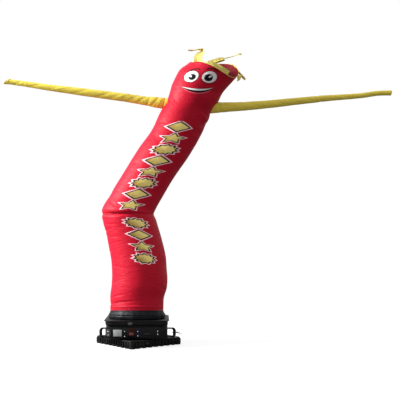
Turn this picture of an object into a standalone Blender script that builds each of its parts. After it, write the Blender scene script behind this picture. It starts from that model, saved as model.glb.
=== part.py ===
"""Inflatable air dancer on its blower.

A red cloth tube leans to one side above a knee fold, with two tapered yellow arms, a crown of
yellow strips and a black collar. It stands on a low square fan housing. Metres, +Z up. The origin
is the centre of the base's underside, +X runs along the arms and -Y faces the viewer.
"""

import math

import bmesh
import bpy
import numpy as np
from mathutils import Matrix, Vector

GAP = 0.0003
CLOTH_GAP = 0.0006
FINE_MERGE = 0.00005
TUBE_WALL = 0.0025
ARM_WALL = 0.002
STRIP_WALL = 0.0018

# The blower, from the floor up.
TOWER_X = -0.006
BASE_YAW = math.radians(38)
BASE_SIDE = 0.5
BASE_CORNER = 0.03
FEET_TOP = 0.0137
TRAY_TOP = 0.052
DECK_TOP = 0.062
HOUSING_TOP = 0.1787
CAP_TOP = 0.2137
OUTLET_TOP = 0.262
# Teeth on each side of a square: its side, how many, their share of the pitch, depth, plain corner.
FEET = (BASE_SIDE - 0.004, 7, 0.52, 0.02, 0.042)
RIBS = (BASE_SIDE - 0.002, 13, 0.45, 0.008, 0.034)
TRAY_HALF = RIBS[0] / 2
DECK_SIDE = BASE_SIDE + 0.006
DECK_EDGE = 0.003
DRAIN_ALONG = 0.095
DRAIN_HEIGHT = 0.034
DRAIN_RADIUS = 0.013
DRAIN_DEPTH = 0.006
HOUSING_HALF = (0.2465, 0.235)
HOUSING_CORNER = 0.08
HOUSING_EDGE = 0.006
# The top cap and the lip round it: width, depth, corner, edge.
CAP = (0.498, 0.52, 0.06, 0.003)
LIP = (0.518, 0.532, 0.066, 0.0015)
LIP_HEIGHT = 0.006
FASCIA_WIDTH = 0.488
FASCIA_HEIGHT = 0.083
FASCIA_MIDDLE = 0.1206
FASCIA_CORNER = 0.012
FASCIA_EDGE = 0.002
FASCIA_DEPTH = 0.022
FASCIA_Y = -HOUSING_HALF[1] - GAP - FASCIA_DEPTH / 2
FASCIA_FRONT = FASCIA_Y - FASCIA_DEPTH / 2
OUTLET_RADIUS = 0.2
OUTLET_WALL = 0.004
LATCH_X = -0.053
# The latch's plate and lever: width, depth, height, corner, height of the middle.
LATCH_PLATE = (0.046, 0.004, 0.026, 0.004, 0.1925)
LATCH_LEVER = (0.024, 0.006, 0.018, 0.003, 0.1915)

# What sits on the front of the fascia: x and z of the middle, width, height, corner, thickness.
FASCIA_FITTINGS = {
    "gland_cover": (-0.2267, 0.1187, 0.036, 0.058, 0.017, 0.004, "grey_plastic"),
    "blank_plate": (-0.155, 0.118, 0.067, 0.052, 0.002, 0.0015, "pale_plate"),
    "switch_plate": (-0.0443, 0.1257, 0.064, 0.06, 0.003, 0.003, "dark_red_plastic"),
    "socket_plate": (0.0193, 0.1225, 0.05, 0.068, 0.003, 0.003, "blue_black_plastic"),
    "slot_bezel": (0.0764, 0.1107, 0.052, 0.013, 0.004, 0.003, "gloss_black"),
}
ROCKER = (-0.0453, 0.1107, 0.034, 0.02, 0.009, 0.005)
# Screw heads: x, z and how far the face they sit on stands out from the fascia.
SCREWS = (
    (-0.2267, 0.1304, 0.004),
    (-0.2267, 0.1045, 0.004),
    (-0.0984, 0.1304, 0.0),
    (-0.0984, 0.0926, 0.0),
    (0.0055, 0.1304, 0.003),
    (0.0055, 0.0955, 0.003),
    (0.1621, 0.132, 0.0),
    (0.1621, 0.1084, 0.0),
)
SCREW_RADIUS = 0.0045
SCREW_HEIGHT = 0.0025

HANDLE_REACH = {"handle_left": 0.292, "handle_right": 0.302}
HANDLE_Y = -0.12
HANDLE_TOP = 0.141
HANDLE_BOTTOM = 0.072
HANDLE_BEND = 0.022
GRIP_RADIUS = 0.0125
HANDLE_RADIUS = 0.0062

# The tie: a loop with four sides round the right grip, a knot and two free ends.
TIE_HEIGHT = 0.108
TIE_LOOP_RADIUS = GRIP_RADIUS + 0.0045
TIE_BAR = 0.0035
TIE_TAIL_BAR = 0.0028
KNOT_SIZE = (0.016, 0.014, 0.016)
KNOT_CORNER = 0.004
KNOT_OFFSET = (TIE_LOOP_RADIUS + 0.004, -0.002, 0.0)
TIE_TAILS = {
    "tie_tail_long": (0.05, -0.012, -0.016),
    "tie_tail_short": (0.028, 0.004, -0.024),
}
TAIL_RISE = 0.004

# The cloth tube, ring by ring from the collar to the open crown. Roll leans a ring to the right
# and pitch leans it towards the viewer, both in degrees.
TUBE_COLUMNS = ("height", "across", "back", "radius", "roll", "pitch")
TUBE_RINGS = (
    (0.2742, -0.0107, 0.000, 0.2180, 0, -5),
    (0.3585, -0.0107, 0.006, 0.2200, 0, -5),
    (0.4733, 0.0080, 0.014, 0.2300, 0, -5),
    (0.5474, 0.0125, 0.019, 0.2290, 0, -4),
    (0.6713, 0.0058, 0.027, 0.2270, -3, -3),
    (0.8207, -0.0232, 0.036, 0.2216, -9, -1),
    (0.9708, -0.0607, 0.043, 0.2160, -9, 1),
    (1.0700, -0.0897, 0.048, 0.2169, 0, 2),
    (1.1697, -0.0442, 0.050, 0.1960, 20, 2),
    (1.3197, 0.0433, 0.053, 0.1904, 31, 1),
    (1.5189, 0.1679, 0.050, 0.1903, 32, 1),
    (1.6677, 0.2716, 0.045, 0.1875, 30, 2),
    (1.8160, 0.3500, 0.038, 0.1940, 24, 5),
    (1.9626, 0.4155, 0.025, 0.1850, 24, 9),
    (2.0591, 0.4682, 0.012, 0.2040, 25, 12),
    (2.1541, 0.5120, -0.005, 0.2000, 24, 14),
    (2.2658, 0.5940, -0.035, 0.2060, 11, 16),
    (2.3400, 0.6200, -0.055, 0.2060, 8, 17),
)
TUBE_BOTTOM = 0.2742
TUBE_TOP = 2.2658
TUBE_SEGMENTS = 32
# Spans of the tube: the height where each ends and how many rings of mesh it holds.
TUBE_SPANS = ((1.02, 11), (1.052, 2), (1.088, 4), (1.13, 2), (2.06, 13), (TUBE_TOP, 6))
# Folds: height, angle round the tube, reach up and down, reach round, depth (ridges positive).
FOLD_COLUMNS = ("height", "angle", "tall", "wide", "depth")
FOLDS = (
    (1.070, 232, 0.013, 62, -0.016),
    (1.105, 245, 0.030, 55, 0.007),
    (1.035, 205, 0.020, 30, -0.006),
    (0.330, 215, 0.022, 40, -0.004),
    (0.620, 340, 0.060, 30, -0.005),
    (1.835, 345, 0.035, 34, 0.012),
    (1.900, 320, 0.022, 30, -0.008),
    (1.915, 186, 0.040, 26, -0.010),
    (2.000, 345, 0.050, 30, 0.008),
    (1.450, 350, 0.100, 22, -0.005),
)
# The crown: its left shoulder curls in, its right side flares, and its edge rises and falls.
CROWN_START = 2.08
SHOULDER_ANGLE = 185
SHOULDER_WIDE = 55
SHOULDER_CURL = 0.15
FLARE_WIDE = 45
FLARE = 0.03
# The crown's edge: angle and how far it stands above its ring.
CROWN_EDGE = (
    (0, -0.016),
    (20, 0.020),
    (45, 0.042),
    (90, 0.026),
    (135, 0.014),
    (180, 0.012),
    (210, 0.018),
    (240, 0.032),
    (270, 0.018),
    (300, -0.014),
    (330, -0.030),
    (360, -0.016),
)

COLLAR_RINGS = (
    (CAP_TOP + CLOTH_GAP, -0.0107, -0.002, 0.2270, 0, 0),
    (0.2215, -0.0107, -0.001, 0.2330, 0, -1),
    (0.2340, -0.0107, 0.000, 0.2350, 0, -2),
    (0.2480, -0.0107, 0.000, 0.2290, 0, -4),
    (0.2610, -0.0107, 0.000, 0.2215, 0, -5),
    (0.2742 - CLOTH_GAP, -0.0107, 0.000, 0.2180, 0, -5),
)
COLLAR_GATHERS = 13
COLLAR_GATHER_DEPTH = 0.003

# The arms, from inside the tube to the cuff: across, back, height, radius.
LEFT_ARM = (
    (0.3890, 0.030, 1.9658, 0.0460),
    (0.2241, 0.030, 1.9840, 0.0453),
    (0.1335, 0.024, 1.9947, 0.0430),
    (0.0676, 0.020, 2.0029, 0.0370),
    (-0.1302, 0.010, 2.0317, 0.0335),
    (-0.3939, 0.000, 2.0647, 0.0320),
    (-0.7235, -0.012, 2.1059, 0.0255),
    (-1.0400, -0.024, 2.1495, 0.0215),
    (-1.0800, -0.026, 2.1540, 0.0225),
)
RIGHT_ARM = (
    (0.4713, 0.010, 1.9330, 0.0460),
    (0.6032, 0.012, 1.9452, 0.0453),
    (0.7762, 0.018, 1.9535, 0.0375),
    (1.0399, 0.026, 1.9741, 0.0330),
    (1.3036, 0.034, 2.0029, 0.0290),
    (1.4940, 0.040, 2.0240, 0.0262),
    (1.5672, 0.044, 2.0317, 0.0247),
    (1.8309, 0.050, 2.0523, 0.0212),
    (2.0287, 0.056, 2.0770, 0.0206),
    (2.1028, 0.058, 2.0780, 0.0200),
)
ARM_SEGMENTS = 14
ARM_RINGS = 16
# Each arm with how steeply its cuff is cut.
ARMS = {"arm_left": (LEFT_ARM, 0.9), "arm_right": (RIGHT_ARM, 0.2)}
# The arms' roots are fitted to this part of the tube.
SHOULDERS = (1.65, 2.2)

# The hair: a backing strip round part of the crown, in columns as wide as the tube's facets, and
# strips that leave it. Each strip has its first column, its width in columns, its turn from root to
# tip in degrees, and the way it takes from its root: across, back and up.
HAIR_START = 213.75
HAIR_COLUMN = 360 / TUBE_SEGMENTS
HAIR_COLUMNS = 18
HAIR_RISE = 0.01
HAIR_STEPS = 6
HAIR_STRIPS = (
    (0, 2, 10, ((0.012, 0, 0.03), (0.035, 0.005, 0.062), (0.025, 0, 0.09), (-0.05, -0.01, 0.096))),
    (4, 1, 110, ((0.03, -0.005, 0.012), (0.075, 0, 0.03), (0.125, 0.01, 0.047), (0.265, 0.01, 0.078))),
    (5, 1, 15, ((0.03, -0.014, 0.004), (0.075, -0.006, -0.016), (0.115, 0.02, -0.05))),
    (13, 1, -30, ((0.012, 0, 0.003), (0.022, -0.01, -0.03), (0.02, -0.015, -0.07))),
    (17, 1, -75, ((0.02, 0, -0.002), (0.075, -0.02, -0.055), (0.105, -0.03, -0.09), (0.13, -0.03, -0.12))),
)

COLOURS = {
    "red_nylon": ((0.72, 0.03, 0.06), 0.5, 0.0),
    "yellow_nylon": ((0.75, 0.6, 0.08), 0.5, 0.0),
    "black_nylon": ((0.02, 0.024, 0.03), 0.35, 0.0),
    "black_plastic": ((0.02, 0.02, 0.021), 0.45, 0.0),
    "gloss_black": ((0.012, 0.012, 0.014), 0.2, 0.0),
    "grey_plastic": ((0.2, 0.2, 0.21), 0.45, 0.0),
    "pale_plate": ((0.75, 0.76, 0.76), 0.4, 0.0),
    "dark_red_plastic": ((0.16, 0.02, 0.015), 0.35, 0.0),
    "lit_red": ((0.6, 0.2, 0.15), 0.3, 0.0),
    "blue_black_plastic": ((0.03, 0.035, 0.08), 0.35, 0.0),
    "steel": ((0.6, 0.6, 0.6), 0.3, 1.0),
}


def clear_scene():
    """Remove every object and leave the scene empty."""
    for item in list(bpy.data.objects):
        bpy.data.objects.remove(item, do_unlink=True)


def make_material(name):
    """Make one Principled material from the table of colours."""
    colour, roughness, metallic = COLOURS[name]
    material = bpy.data.materials.new(name)
    material.use_nodes = True
    shader = material.node_tree.nodes["Principled BSDF"]
    shader.inputs["Base Color"].default_value = (*colour, 1)
    shader.inputs["Roughness"].default_value = roughness
    shader.inputs["Metallic"].default_value = metallic
    return material


def new_collection(name):
    """Make a collection in the scene."""
    collection = bpy.data.collections.new(name)
    bpy.context.scene.collection.children.link(collection)
    return collection


def place(name, mesh, material, smooth=True):
    """Put a mesh in the object's collection under a node's name."""
    item = bpy.data.objects.new(name, mesh)
    PARTS.objects.link(item)
    if material:
        mesh.materials.append(material)
    if smooth:
        mesh.shade_smooth()
        mesh.set_sharp_from_angle(angle=math.radians(40))
    return item


def as_cutter(item):
    """Move an object to the cutters' collection."""
    PARTS.objects.unlink(item)
    CUTTERS.objects.link(item)
    item.hide_render = True
    item.display_type = "WIRE"


def boolean(item, other, operation):
    """Cut or join an object with another one."""
    step = item.modifiers.new(other.name, "BOOLEAN")
    step.operation = operation
    step.object = other
    step.solver = "EXACT"


def mesh_from(name, bm):
    """Turn a bmesh into a mesh with its faces pointing out."""
    bmesh.ops.recalc_face_normals(bm, faces=bm.faces)
    mesh = bpy.data.meshes.new(name)
    bm.to_mesh(mesh)
    bm.free()
    return mesh


def smooth_curve(steps, values):
    """A curve through the values that never swings past them, as a function of the steps."""
    steps = np.asarray(steps, float)
    values = np.asarray(values, float)
    span = np.diff(steps)
    slope = np.diff(values) / span
    rate = np.zeros_like(values)
    rate[0] = slope[0]
    rate[-1] = slope[-1]
    for i in range(1, len(values) - 1):
        if slope[i - 1] * slope[i] > 0:
            near = 2 * span[i] + span[i - 1]
            far = span[i] + 2 * span[i - 1]
            rate[i] = (near + far) / (near / slope[i - 1] + far / slope[i])

    def at(step):
        i = int(np.clip(np.searchsorted(steps, step) - 1, 0, len(span) - 1))
        t = (step - steps[i]) / span[i]
        return float(
            values[i] * (1 + 2 * t) * (1 - t) ** 2
            + span[i] * rate[i] * t * (1 - t) ** 2
            + values[i + 1] * t * t * (3 - 2 * t)
            + span[i] * rate[i + 1] * t * t * (t - 1)
        )

    return at


def bump(distance, reach):
    """A smooth hump: 1 in the middle and about 0 beyond two reaches."""
    return math.exp(-((distance / reach) ** 2))


def turn_between(angle, middle):
    """The signed angle in degrees from a middle to an angle."""
    return (angle - middle + 180) % 360 - 180


class RingTube:
    """A cloth tube that follows a table of rings."""

    def __init__(self, rings):
        self.heights = [row[0] for row in rings]
        self.curves = {}
        for column, name in enumerate(TUBE_COLUMNS[1:], start=1):
            self.curves[name] = smooth_curve(self.heights, [row[column] for row in rings])

    def frame(self, height):
        """The middle, radius, and the across, back and up directions of the ring at a height."""
        value = {name: curve(height) for name, curve in self.curves.items()}
        roll = math.radians(value["roll"])
        pitch = math.radians(value["pitch"])
        across = Vector((math.cos(roll), 0, -math.sin(roll)))
        upright = Vector((math.sin(roll), 0, math.cos(roll)))
        level = Vector((0, 1, 0))
        up = upright * math.cos(pitch) - level * math.sin(pitch)
        back = level * math.cos(pitch) + upright * math.sin(pitch)
        middle = Vector((value["across"], value["back"], height))
        return middle, value["radius"], across, back, up

    def point(self, height, angle, swell=0.0):
        """A place on the tube's wall, with the wall moved out by swell."""
        middle, radius, across, back, up = self.frame(height)
        turn = math.radians(angle)
        reach = radius + swell
        return middle + across * (reach * math.cos(turn)) + back * (reach * math.sin(turn))


def crown_share(height):
    """How far up the crown a height is, from 0 where it starts to 1 at its edge."""
    return max(0.0, (height - CROWN_START) / (TUBE_TOP - CROWN_START))


class BodyTube(RingTube):
    """The red tube, with its folds and its uneven crown."""

    def __init__(self, rings):
        super().__init__(rings)
        self.edge = smooth_curve(*zip(*CROWN_EDGE))

    def fold_depth(self, height, angle):
        """How far the folds move the wall in or out."""
        depth = 0.0
        for row in FOLDS:
            fold = dict(zip(FOLD_COLUMNS, row))
            along = bump(height - fold["height"], fold["tall"])
            depth += fold["depth"] * along * bump(turn_between(angle, fold["angle"]), fold["wide"])
        return depth

    def point(self, height, angle, swell=0.0):
        """A place on the wall with the folds, the curled shoulder and the dip in it."""
        share = crown_share(height)
        level = height + share * self.edge(angle % 360)
        curl = SHOULDER_CURL * share**5 * bump(turn_between(angle, SHOULDER_ANGLE), SHOULDER_WIDE)
        flare = FLARE * share**2 * bump(turn_between(angle, 0), FLARE_WIDE)
        swell += self.fold_depth(level, angle) + flare - curl * self.curves["radius"](level)
        return super().point(level, angle, swell)


class CollarTube(RingTube):
    """The black collar, gathered over the outlet."""

    def point(self, height, angle, swell=0.0):
        """A place on the wall with the gathers in it, which fade towards the red tube."""
        share = (self.heights[-1] - height) / (self.heights[-1] - self.heights[0])
        wave = math.sin(math.radians(angle) * COLLAR_GATHERS + 2 * math.sin(math.radians(angle)))
        return super().point(height, angle, swell + COLLAR_GATHER_DEPTH * share * wave)


def wrap_tube(name, segments, levels, point, closed=False):
    """Make a tube mesh from a cylinder whose rings are moved to the levels' places.

    point gives the place for a level and an angle in degrees.
    """
    bm = bmesh.new()
    bmesh.ops.create_cone(bm, cap_ends=False, segments=segments, radius1=1, radius2=1, depth=1)
    uprights = [e for e in bm.edges if abs(e.verts[0].co.z - e.verts[1].co.z) > 0.5]
    bmesh.ops.subdivide_edges(bm, edges=uprights, cuts=len(levels) - 2)
    for vert in bm.verts:
        ring = round((vert.co.z + 0.5) * (len(levels) - 1))
        angle = math.degrees(math.atan2(vert.co.y, vert.co.x)) % 360
        vert.co = point(levels[ring], angle)
    if closed:
        bmesh.ops.holes_fill(bm, edges=bm.edges, sides=0)
    return mesh_from(name, bm)


def add_wall(item, thickness):
    """Give an open surface its thickness, on the inside."""
    wall = item.modifiers.new("wall", "SOLIDIFY")
    wall.thickness = thickness
    wall.offset = -1


def tube_levels():
    """The heights of the tube's mesh rings, close together at the knee and the crown."""
    levels = [TUBE_BOTTOM]
    for high, count in TUBE_SPANS:
        levels += list(np.linspace(levels[-1], high, count + 1)[1:])
    return levels


def make_body(body):
    """The red tube, open at the collar and at the crown."""
    mesh = wrap_tube("body_tube", TUBE_SEGMENTS, tube_levels(), body.point)
    add_wall(place("body_tube", mesh, MATERIALS["red_nylon"]), TUBE_WALL)


def make_collar():
    """The black collar between the red tube and the top cap."""
    collar = CollarTube(COLLAR_RINGS)
    levels = np.linspace(COLLAR_RINGS[0][0], COLLAR_RINGS[-1][0], 7)
    mesh = wrap_tube("collar", TUBE_SEGMENTS + 10, list(levels), collar.point)
    add_wall(place("collar", mesh, MATERIALS["black_nylon"]), TUBE_WALL)


def arm_point(rows, cuff_slant):
    """A function that gives places along a tapered arm, from a level of 0 to 1."""
    middles = [Vector(row[:3]) for row in rows]
    lengths = np.cumsum([0] + [(b - a).length for a, b in zip(middles, middles[1:])])
    steps = lengths / lengths[-1]
    curves = [smooth_curve(steps, [row[i] for row in rows]) for i in range(4)]

    def point(level, angle):
        middle = Vector([curve(level) for curve in curves[:3]])
        ahead = Vector([curve(min(level + 0.01, 1)) for curve in curves[:3]])
        behind = Vector([curve(max(level - 0.01, 0)) for curve in curves[:3]])
        along = (ahead - behind).normalized()
        side = along.cross(Vector((0, 0, 1))).normalized()
        upward = side.cross(along)
        turn = math.radians(angle)
        radius = curves[3](level)
        slant = along * (cuff_slant * radius * math.sin(turn)) if level == 1 else Vector()
        return middle + side * (radius * math.cos(turn)) + upward * (radius * math.sin(turn)) + slant

    return point


def make_arms(body):
    """Both arms, each open at its cuff and fitted to the tube's side."""
    low, high = SHOULDERS
    heights = [level for level in tube_levels() if low < level < high]
    mesh = wrap_tube(
        "arm_cutter", TUBE_SEGMENTS, heights, lambda z, a: body.point(z, a, CLOTH_GAP), closed=True
    )
    cutter = place("arm_cutter", mesh, None)
    as_cutter(cutter)
    levels = list(np.linspace(0, 1, ARM_RINGS))
    for name, (rows, cuff_slant) in ARMS.items():
        mesh = wrap_tube(name, ARM_SEGMENTS, levels, arm_point(rows, cuff_slant))
        arm = place(name, mesh, MATERIALS["yellow_nylon"])
        add_wall(arm, ARM_WALL)
        boolean(arm, cutter, "DIFFERENCE")


def strip_rows(root, tip_turn, path):
    """Rows of places along a strip, from the row past its root to its tip."""
    middle = (root[0] + root[-1]) / 2
    width = root[-1] - root[0]
    stops = [middle] + [middle + Vector(offset) for offset in path]
    steps = np.linspace(0, 1, len(stops))
    curves = [smooth_curve(steps, [stop[i] for stop in stops]) for i in range(3)]
    rows = []
    before = middle
    for i in range(1, HAIR_STEPS + 1):
        share = i / HAIR_STEPS
        here = Vector([curve(share) for curve in curves])
        along = (here - before).normalized()
        flat = (width - along * width.dot(along)).normalized() * width.length
        flat.rotate(Matrix.Rotation(math.radians(tip_turn) * share, 3, along))
        rows.append([here + flat * (j / (len(root) - 1) - 0.5) for j in range(len(root))])
        before = here
    return rows


def skin_row(bm, low, high):
    """Join two rows of vertices with faces."""
    for i in range(len(low) - 1):
        bm.faces.new((low[i], low[i + 1], high[i + 1], high[i]))


def make_hair(body):
    """The backing strip on the crown and the strips that leave it, as one piece."""
    below = tube_levels()[-2]
    bm = bmesh.new()
    low = []
    high = []
    for column in range(HAIR_COLUMNS + 1):
        angle = HAIR_START + column * HAIR_COLUMN
        rim = body.point(TUBE_TOP, angle)
        along = (rim - body.point(below, angle)).normalized()
        low.append(bm.verts.new(rim + along * 2 * CLOTH_GAP))
        high.append(bm.verts.new(rim + along * (2 * CLOTH_GAP + HAIR_RISE)))
    skin_row(bm, low, high)
    for column, wide, tip_turn, path in HAIR_STRIPS:
        before = high[column : column + wide + 1]
        for row in strip_rows([vert.co.copy() for vert in before], tip_turn, path):
            corners = [bm.verts.new(co) for co in row]
            skin_row(bm, before, corners)
            before = corners
    mesh = mesh_from("hair_fringe", bm)
    add_wall(place("hair_fringe", mesh, MATERIALS["yellow_nylon"]), STRIP_WALL)


def rounded_box(name, size, corner, middle, material, edge=0.0, axis="Z"):
    """A box with four rounded corners round one axis, and an optional small bevel at its edges."""
    bm = bmesh.new()
    bmesh.ops.create_cube(bm, size=1)
    bmesh.ops.scale(bm, vec=size, verts=bm.verts)
    along = "XYZ".index(axis)
    uprights = [e for e in bm.edges if abs((e.verts[0].co - e.verts[1].co)[along]) > size[along] / 2]
    bmesh.ops.bevel(bm, geom=uprights, offset=corner, segments=4, profile=0.5, affect="EDGES")
    item = place(name, mesh_from(name, bm), material)
    item.location = middle
    if edge:
        bevel = item.modifiers.new("edges", "BEVEL")
        bevel.width = edge
        bevel.segments = 2
        bevel.limit_method = "ANGLE"
        bevel.angle_limit = math.radians(50)
    return item


def toothed_square(side, teeth, tooth_share, depth, corner):
    """The outline of a square whose four sides carry teeth between full corners."""
    half = side / 2
    run = side - 2 * corner
    pitch = run / teeth
    edge = [Vector((-half, -half, 0)), Vector((-half + corner, -half, 0))]
    for i in range(teeth):
        middle = -half + corner + pitch * (i + 0.5)
        for step, inset in ((-0.5, depth), (-0.5, 0), (0.5, 0), (0.5, depth)):
            edge.append(Vector((middle + step * pitch * tooth_share, -half + inset, 0)))
    edge.insert(2, Vector((-half + corner, -half + depth, 0)))
    edge.append(Vector((half - corner, -half + depth, 0)))
    edge.append(Vector((half - corner, -half, 0)))
    points = []
    for quarter in range(4):
        turn = Matrix.Rotation(quarter * math.pi / 2, 3, "Z")
        points += [turn @ point for point in edge]
    return points


def extruded_outline(name, points, low, high, material):
    """A flat outline given its thickness between two heights."""
    curve = bpy.data.curves.new(name, "CURVE")
    curve.dimensions = "2D"
    curve.fill_mode = "BOTH"
    curve.extrude = (high - low) / 2
    spline = curve.splines.new("POLY")
    spline.points.add(len(points) - 1)
    for target, point in zip(spline.points, points):
        target.co = (point.x, point.y, 0, 1)
    spline.use_cyclic_u = True
    curve.materials.append(material)
    item = bpy.data.objects.new(name, curve)
    item.location = (0, 0, (low + high) / 2)
    PARTS.objects.link(item)
    weld = item.modifiers.new("weld", "WELD")
    weld.merge_threshold = FINE_MERGE
    return item


def make_base():
    """The square base: a plate with feet, a ribbed tray, a deck and a round cap on one face."""
    black = MATERIALS["black_plastic"]
    pieces = [
        extruded_outline("base_feet", toothed_square(*FEET), 0, FEET_TOP, black),
        extruded_outline("base_tray", toothed_square(*RIBS), FEET_TOP + GAP, TRAY_TOP, black),
    ]
    deck_height = DECK_TOP - TRAY_TOP - GAP
    deck_size = (DECK_SIDE, DECK_SIDE, deck_height)
    deck_middle = (0, 0, DECK_TOP - deck_height / 2)
    pieces.append(rounded_box("base_deck", deck_size, BASE_CORNER, deck_middle, black, DECK_EDGE))
    for piece in pieces:
        piece.rotation_euler.z = BASE_YAW
    turn = Matrix.Rotation(BASE_YAW, 3, "Z")
    away = TRAY_HALF + GAP + DRAIN_DEPTH / 2
    middle = turn @ Vector((-DRAIN_ALONG, -away, DRAIN_HEIGHT))
    cap = disc("drain_cap", DRAIN_RADIUS, DRAIN_DEPTH, MATERIALS["gloss_black"])
    cap.location = middle
    cap.rotation_euler = (math.pi / 2, 0, BASE_YAW)


def disc(name, radius, height, material, segments=20):
    """A short cylinder round its own Z axis."""
    bm = bmesh.new()
    bmesh.ops.create_cone(
        bm, cap_ends=True, segments=segments, radius1=radius, radius2=radius, depth=height
    )
    return place(name, mesh_from(name, bm), material)


def ring(name, radius, wall, low, high, material, segments=32):
    """A short pipe between two heights, turned from its section."""
    bm = bmesh.new()
    inner = radius - wall
    section = [(radius, high), (radius, low), (inner, low), (inner, high)]
    corners = [bm.verts.new((x, 0, z)) for x, z in section]
    edges = [bm.edges.new((corners[i], corners[(i + 1) % 4])) for i in range(4)]
    bmesh.ops.spin(
        bm, geom=corners + edges, cent=(0, 0, 0), axis=(0, 0, 1), angle=2 * math.pi, steps=segments,
        use_merge=True, use_duplicate=False,
    )
    bmesh.ops.remove_doubles(bm, verts=bm.verts, dist=FINE_MERGE)
    return place(name, mesh_from(name, bm), material)


def make_housing():
    """The housing, its top cap with a lip, and the outlet that the collar fits over."""
    black = MATERIALS["black_plastic"]
    half_x, half_y = HOUSING_HALF
    low = DECK_TOP + GAP
    housing_size = (2 * half_x, 2 * half_y, HOUSING_TOP - low)
    housing_middle = (TOWER_X, 0, (HOUSING_TOP + low) / 2)
    rounded_box("housing", housing_size, HOUSING_CORNER, housing_middle, black, HOUSING_EDGE)
    lip_low = CAP_TOP - LIP_HEIGHT
    levels = {"top_cap": (HOUSING_TOP + GAP, lip_low - GAP, CAP), "cap_lip": (lip_low, CAP_TOP, LIP)}
    for name, (low, high, (wide, deep, corner, edge)) in levels.items():
        middle = (TOWER_X, 0, (low + high) / 2)
        rounded_box(name, (wide, deep, high - low), corner, middle, black, edge)
    outlet = ring("outlet_ring", OUTLET_RADIUS, OUTLET_WALL, CAP_TOP + GAP, OUTLET_TOP, black)
    outlet.location = (TOWER_X, 0, 0)


def make_latch():
    """The latch on the front of the top cap: a plate and its lever."""
    front = -CAP[1] / 2
    pieces = {"latch_plate": (LATCH_PLATE, "gloss_black"), "latch_lever": (LATCH_LEVER, "grey_plastic")}
    for name, ((wide, deep, tall, corner, height), colour) in pieces.items():
        middle = (LATCH_X, front - GAP - deep / 2, height)
        rounded_box(name, (wide, deep, tall), corner, middle, MATERIALS[colour], 0, "Y")
        front -= GAP + deep


def make_fascia():
    """The flat front of the housing with its plates, rocker and screws."""
    size = (FASCIA_WIDTH, FASCIA_DEPTH, FASCIA_HEIGHT)
    middle = (TOWER_X, FASCIA_Y, FASCIA_MIDDLE)
    rounded_box("fascia", size, FASCIA_CORNER, middle, MATERIALS["black_plastic"], FASCIA_EDGE, "Y")
    for name, (x, z, wide, tall, corner, thick, colour) in FASCIA_FITTINGS.items():
        middle = (x, FASCIA_FRONT - GAP - thick / 2, z)
        rounded_box(name, (wide, thick, tall), corner, middle, MATERIALS[colour], 0, "Y")
    x, z, wide, tall, corner, thick = ROCKER
    face = FASCIA_FRONT - 2 * GAP - FASCIA_FITTINGS["switch_plate"][5]
    rounded_box("rocker", (wide, thick, tall), corner, (x, face - thick / 2, z),
                MATERIALS["lit_red"], 0, "Y")
    for number, (x, z, stand_out) in enumerate(SCREWS):
        screw = disc(f"screw_{number}", SCREW_RADIUS, SCREW_HEIGHT, MATERIALS["steel"], 12)
        seat = FASCIA_FRONT - stand_out - (2 * GAP if stand_out else GAP)
        screw.location = (x, seat - SCREW_HEIGHT / 2, z)
        screw.rotation_euler.x = math.pi / 2


def handle_path(side, reach):
    """Points and radii along a D-shaped handle on the left (-1) or right (1)."""
    wall = HOUSING_HALF[0] + GAP
    path = [(wall, HANDLE_TOP, HANDLE_RADIUS)]
    for middle_z, start in ((HANDLE_TOP - HANDLE_BEND, 90), (HANDLE_BOTTOM + HANDLE_BEND, 0)):
        for step in range(5):
            turn = math.radians(start - step * 22.5)
            x = reach - HANDLE_BEND + HANDLE_BEND * math.cos(turn)
            z = middle_z + HANDLE_BEND * math.sin(turn)
            share = abs(math.cos(turn))
            path.append((x, z, HANDLE_RADIUS + (GRIP_RADIUS - HANDLE_RADIUS) * share))
    path.append((wall, HANDLE_BOTTOM, HANDLE_RADIUS))
    return [(Vector((TOWER_X + side * x, HANDLE_Y, z)), radius) for x, z, radius in path]


def tube_curve(name, path, material, resolution=3):
    """A round bar along a path of places and radii, with closed ends."""
    curve = bpy.data.curves.new(name, "CURVE")
    curve.dimensions = "3D"
    curve.bevel_depth = 1
    curve.bevel_resolution = resolution
    curve.use_fill_caps = True
    spline = curve.splines.new("POLY")
    spline.points.add(len(path) - 1)
    for target, (place_at, radius) in zip(spline.points, path):
        target.co = (*place_at, 1)
        target.radius = radius
    if material:
        curve.materials.append(material)
    item = bpy.data.objects.new(name, curve)
    PARTS.objects.link(item)
    return item


def curve_to_mesh(item):
    """Replace a curve object by a closed mesh of the same shape."""
    bpy.context.view_layer.update()
    source = item.evaluated_get(bpy.context.evaluated_depsgraph_get())
    mesh = bpy.data.meshes.new_from_object(source)
    bm = bmesh.new()
    bm.from_mesh(mesh)
    bmesh.ops.remove_doubles(bm, verts=bm.verts, dist=FINE_MERGE)
    bm.to_mesh(mesh)
    bm.free()
    name = item.name
    matrix = item.matrix_world.copy()
    bpy.data.objects.remove(item)
    made = bpy.data.objects.new(name, mesh)
    made.matrix_world = matrix
    PARTS.objects.link(made)
    return made


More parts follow.
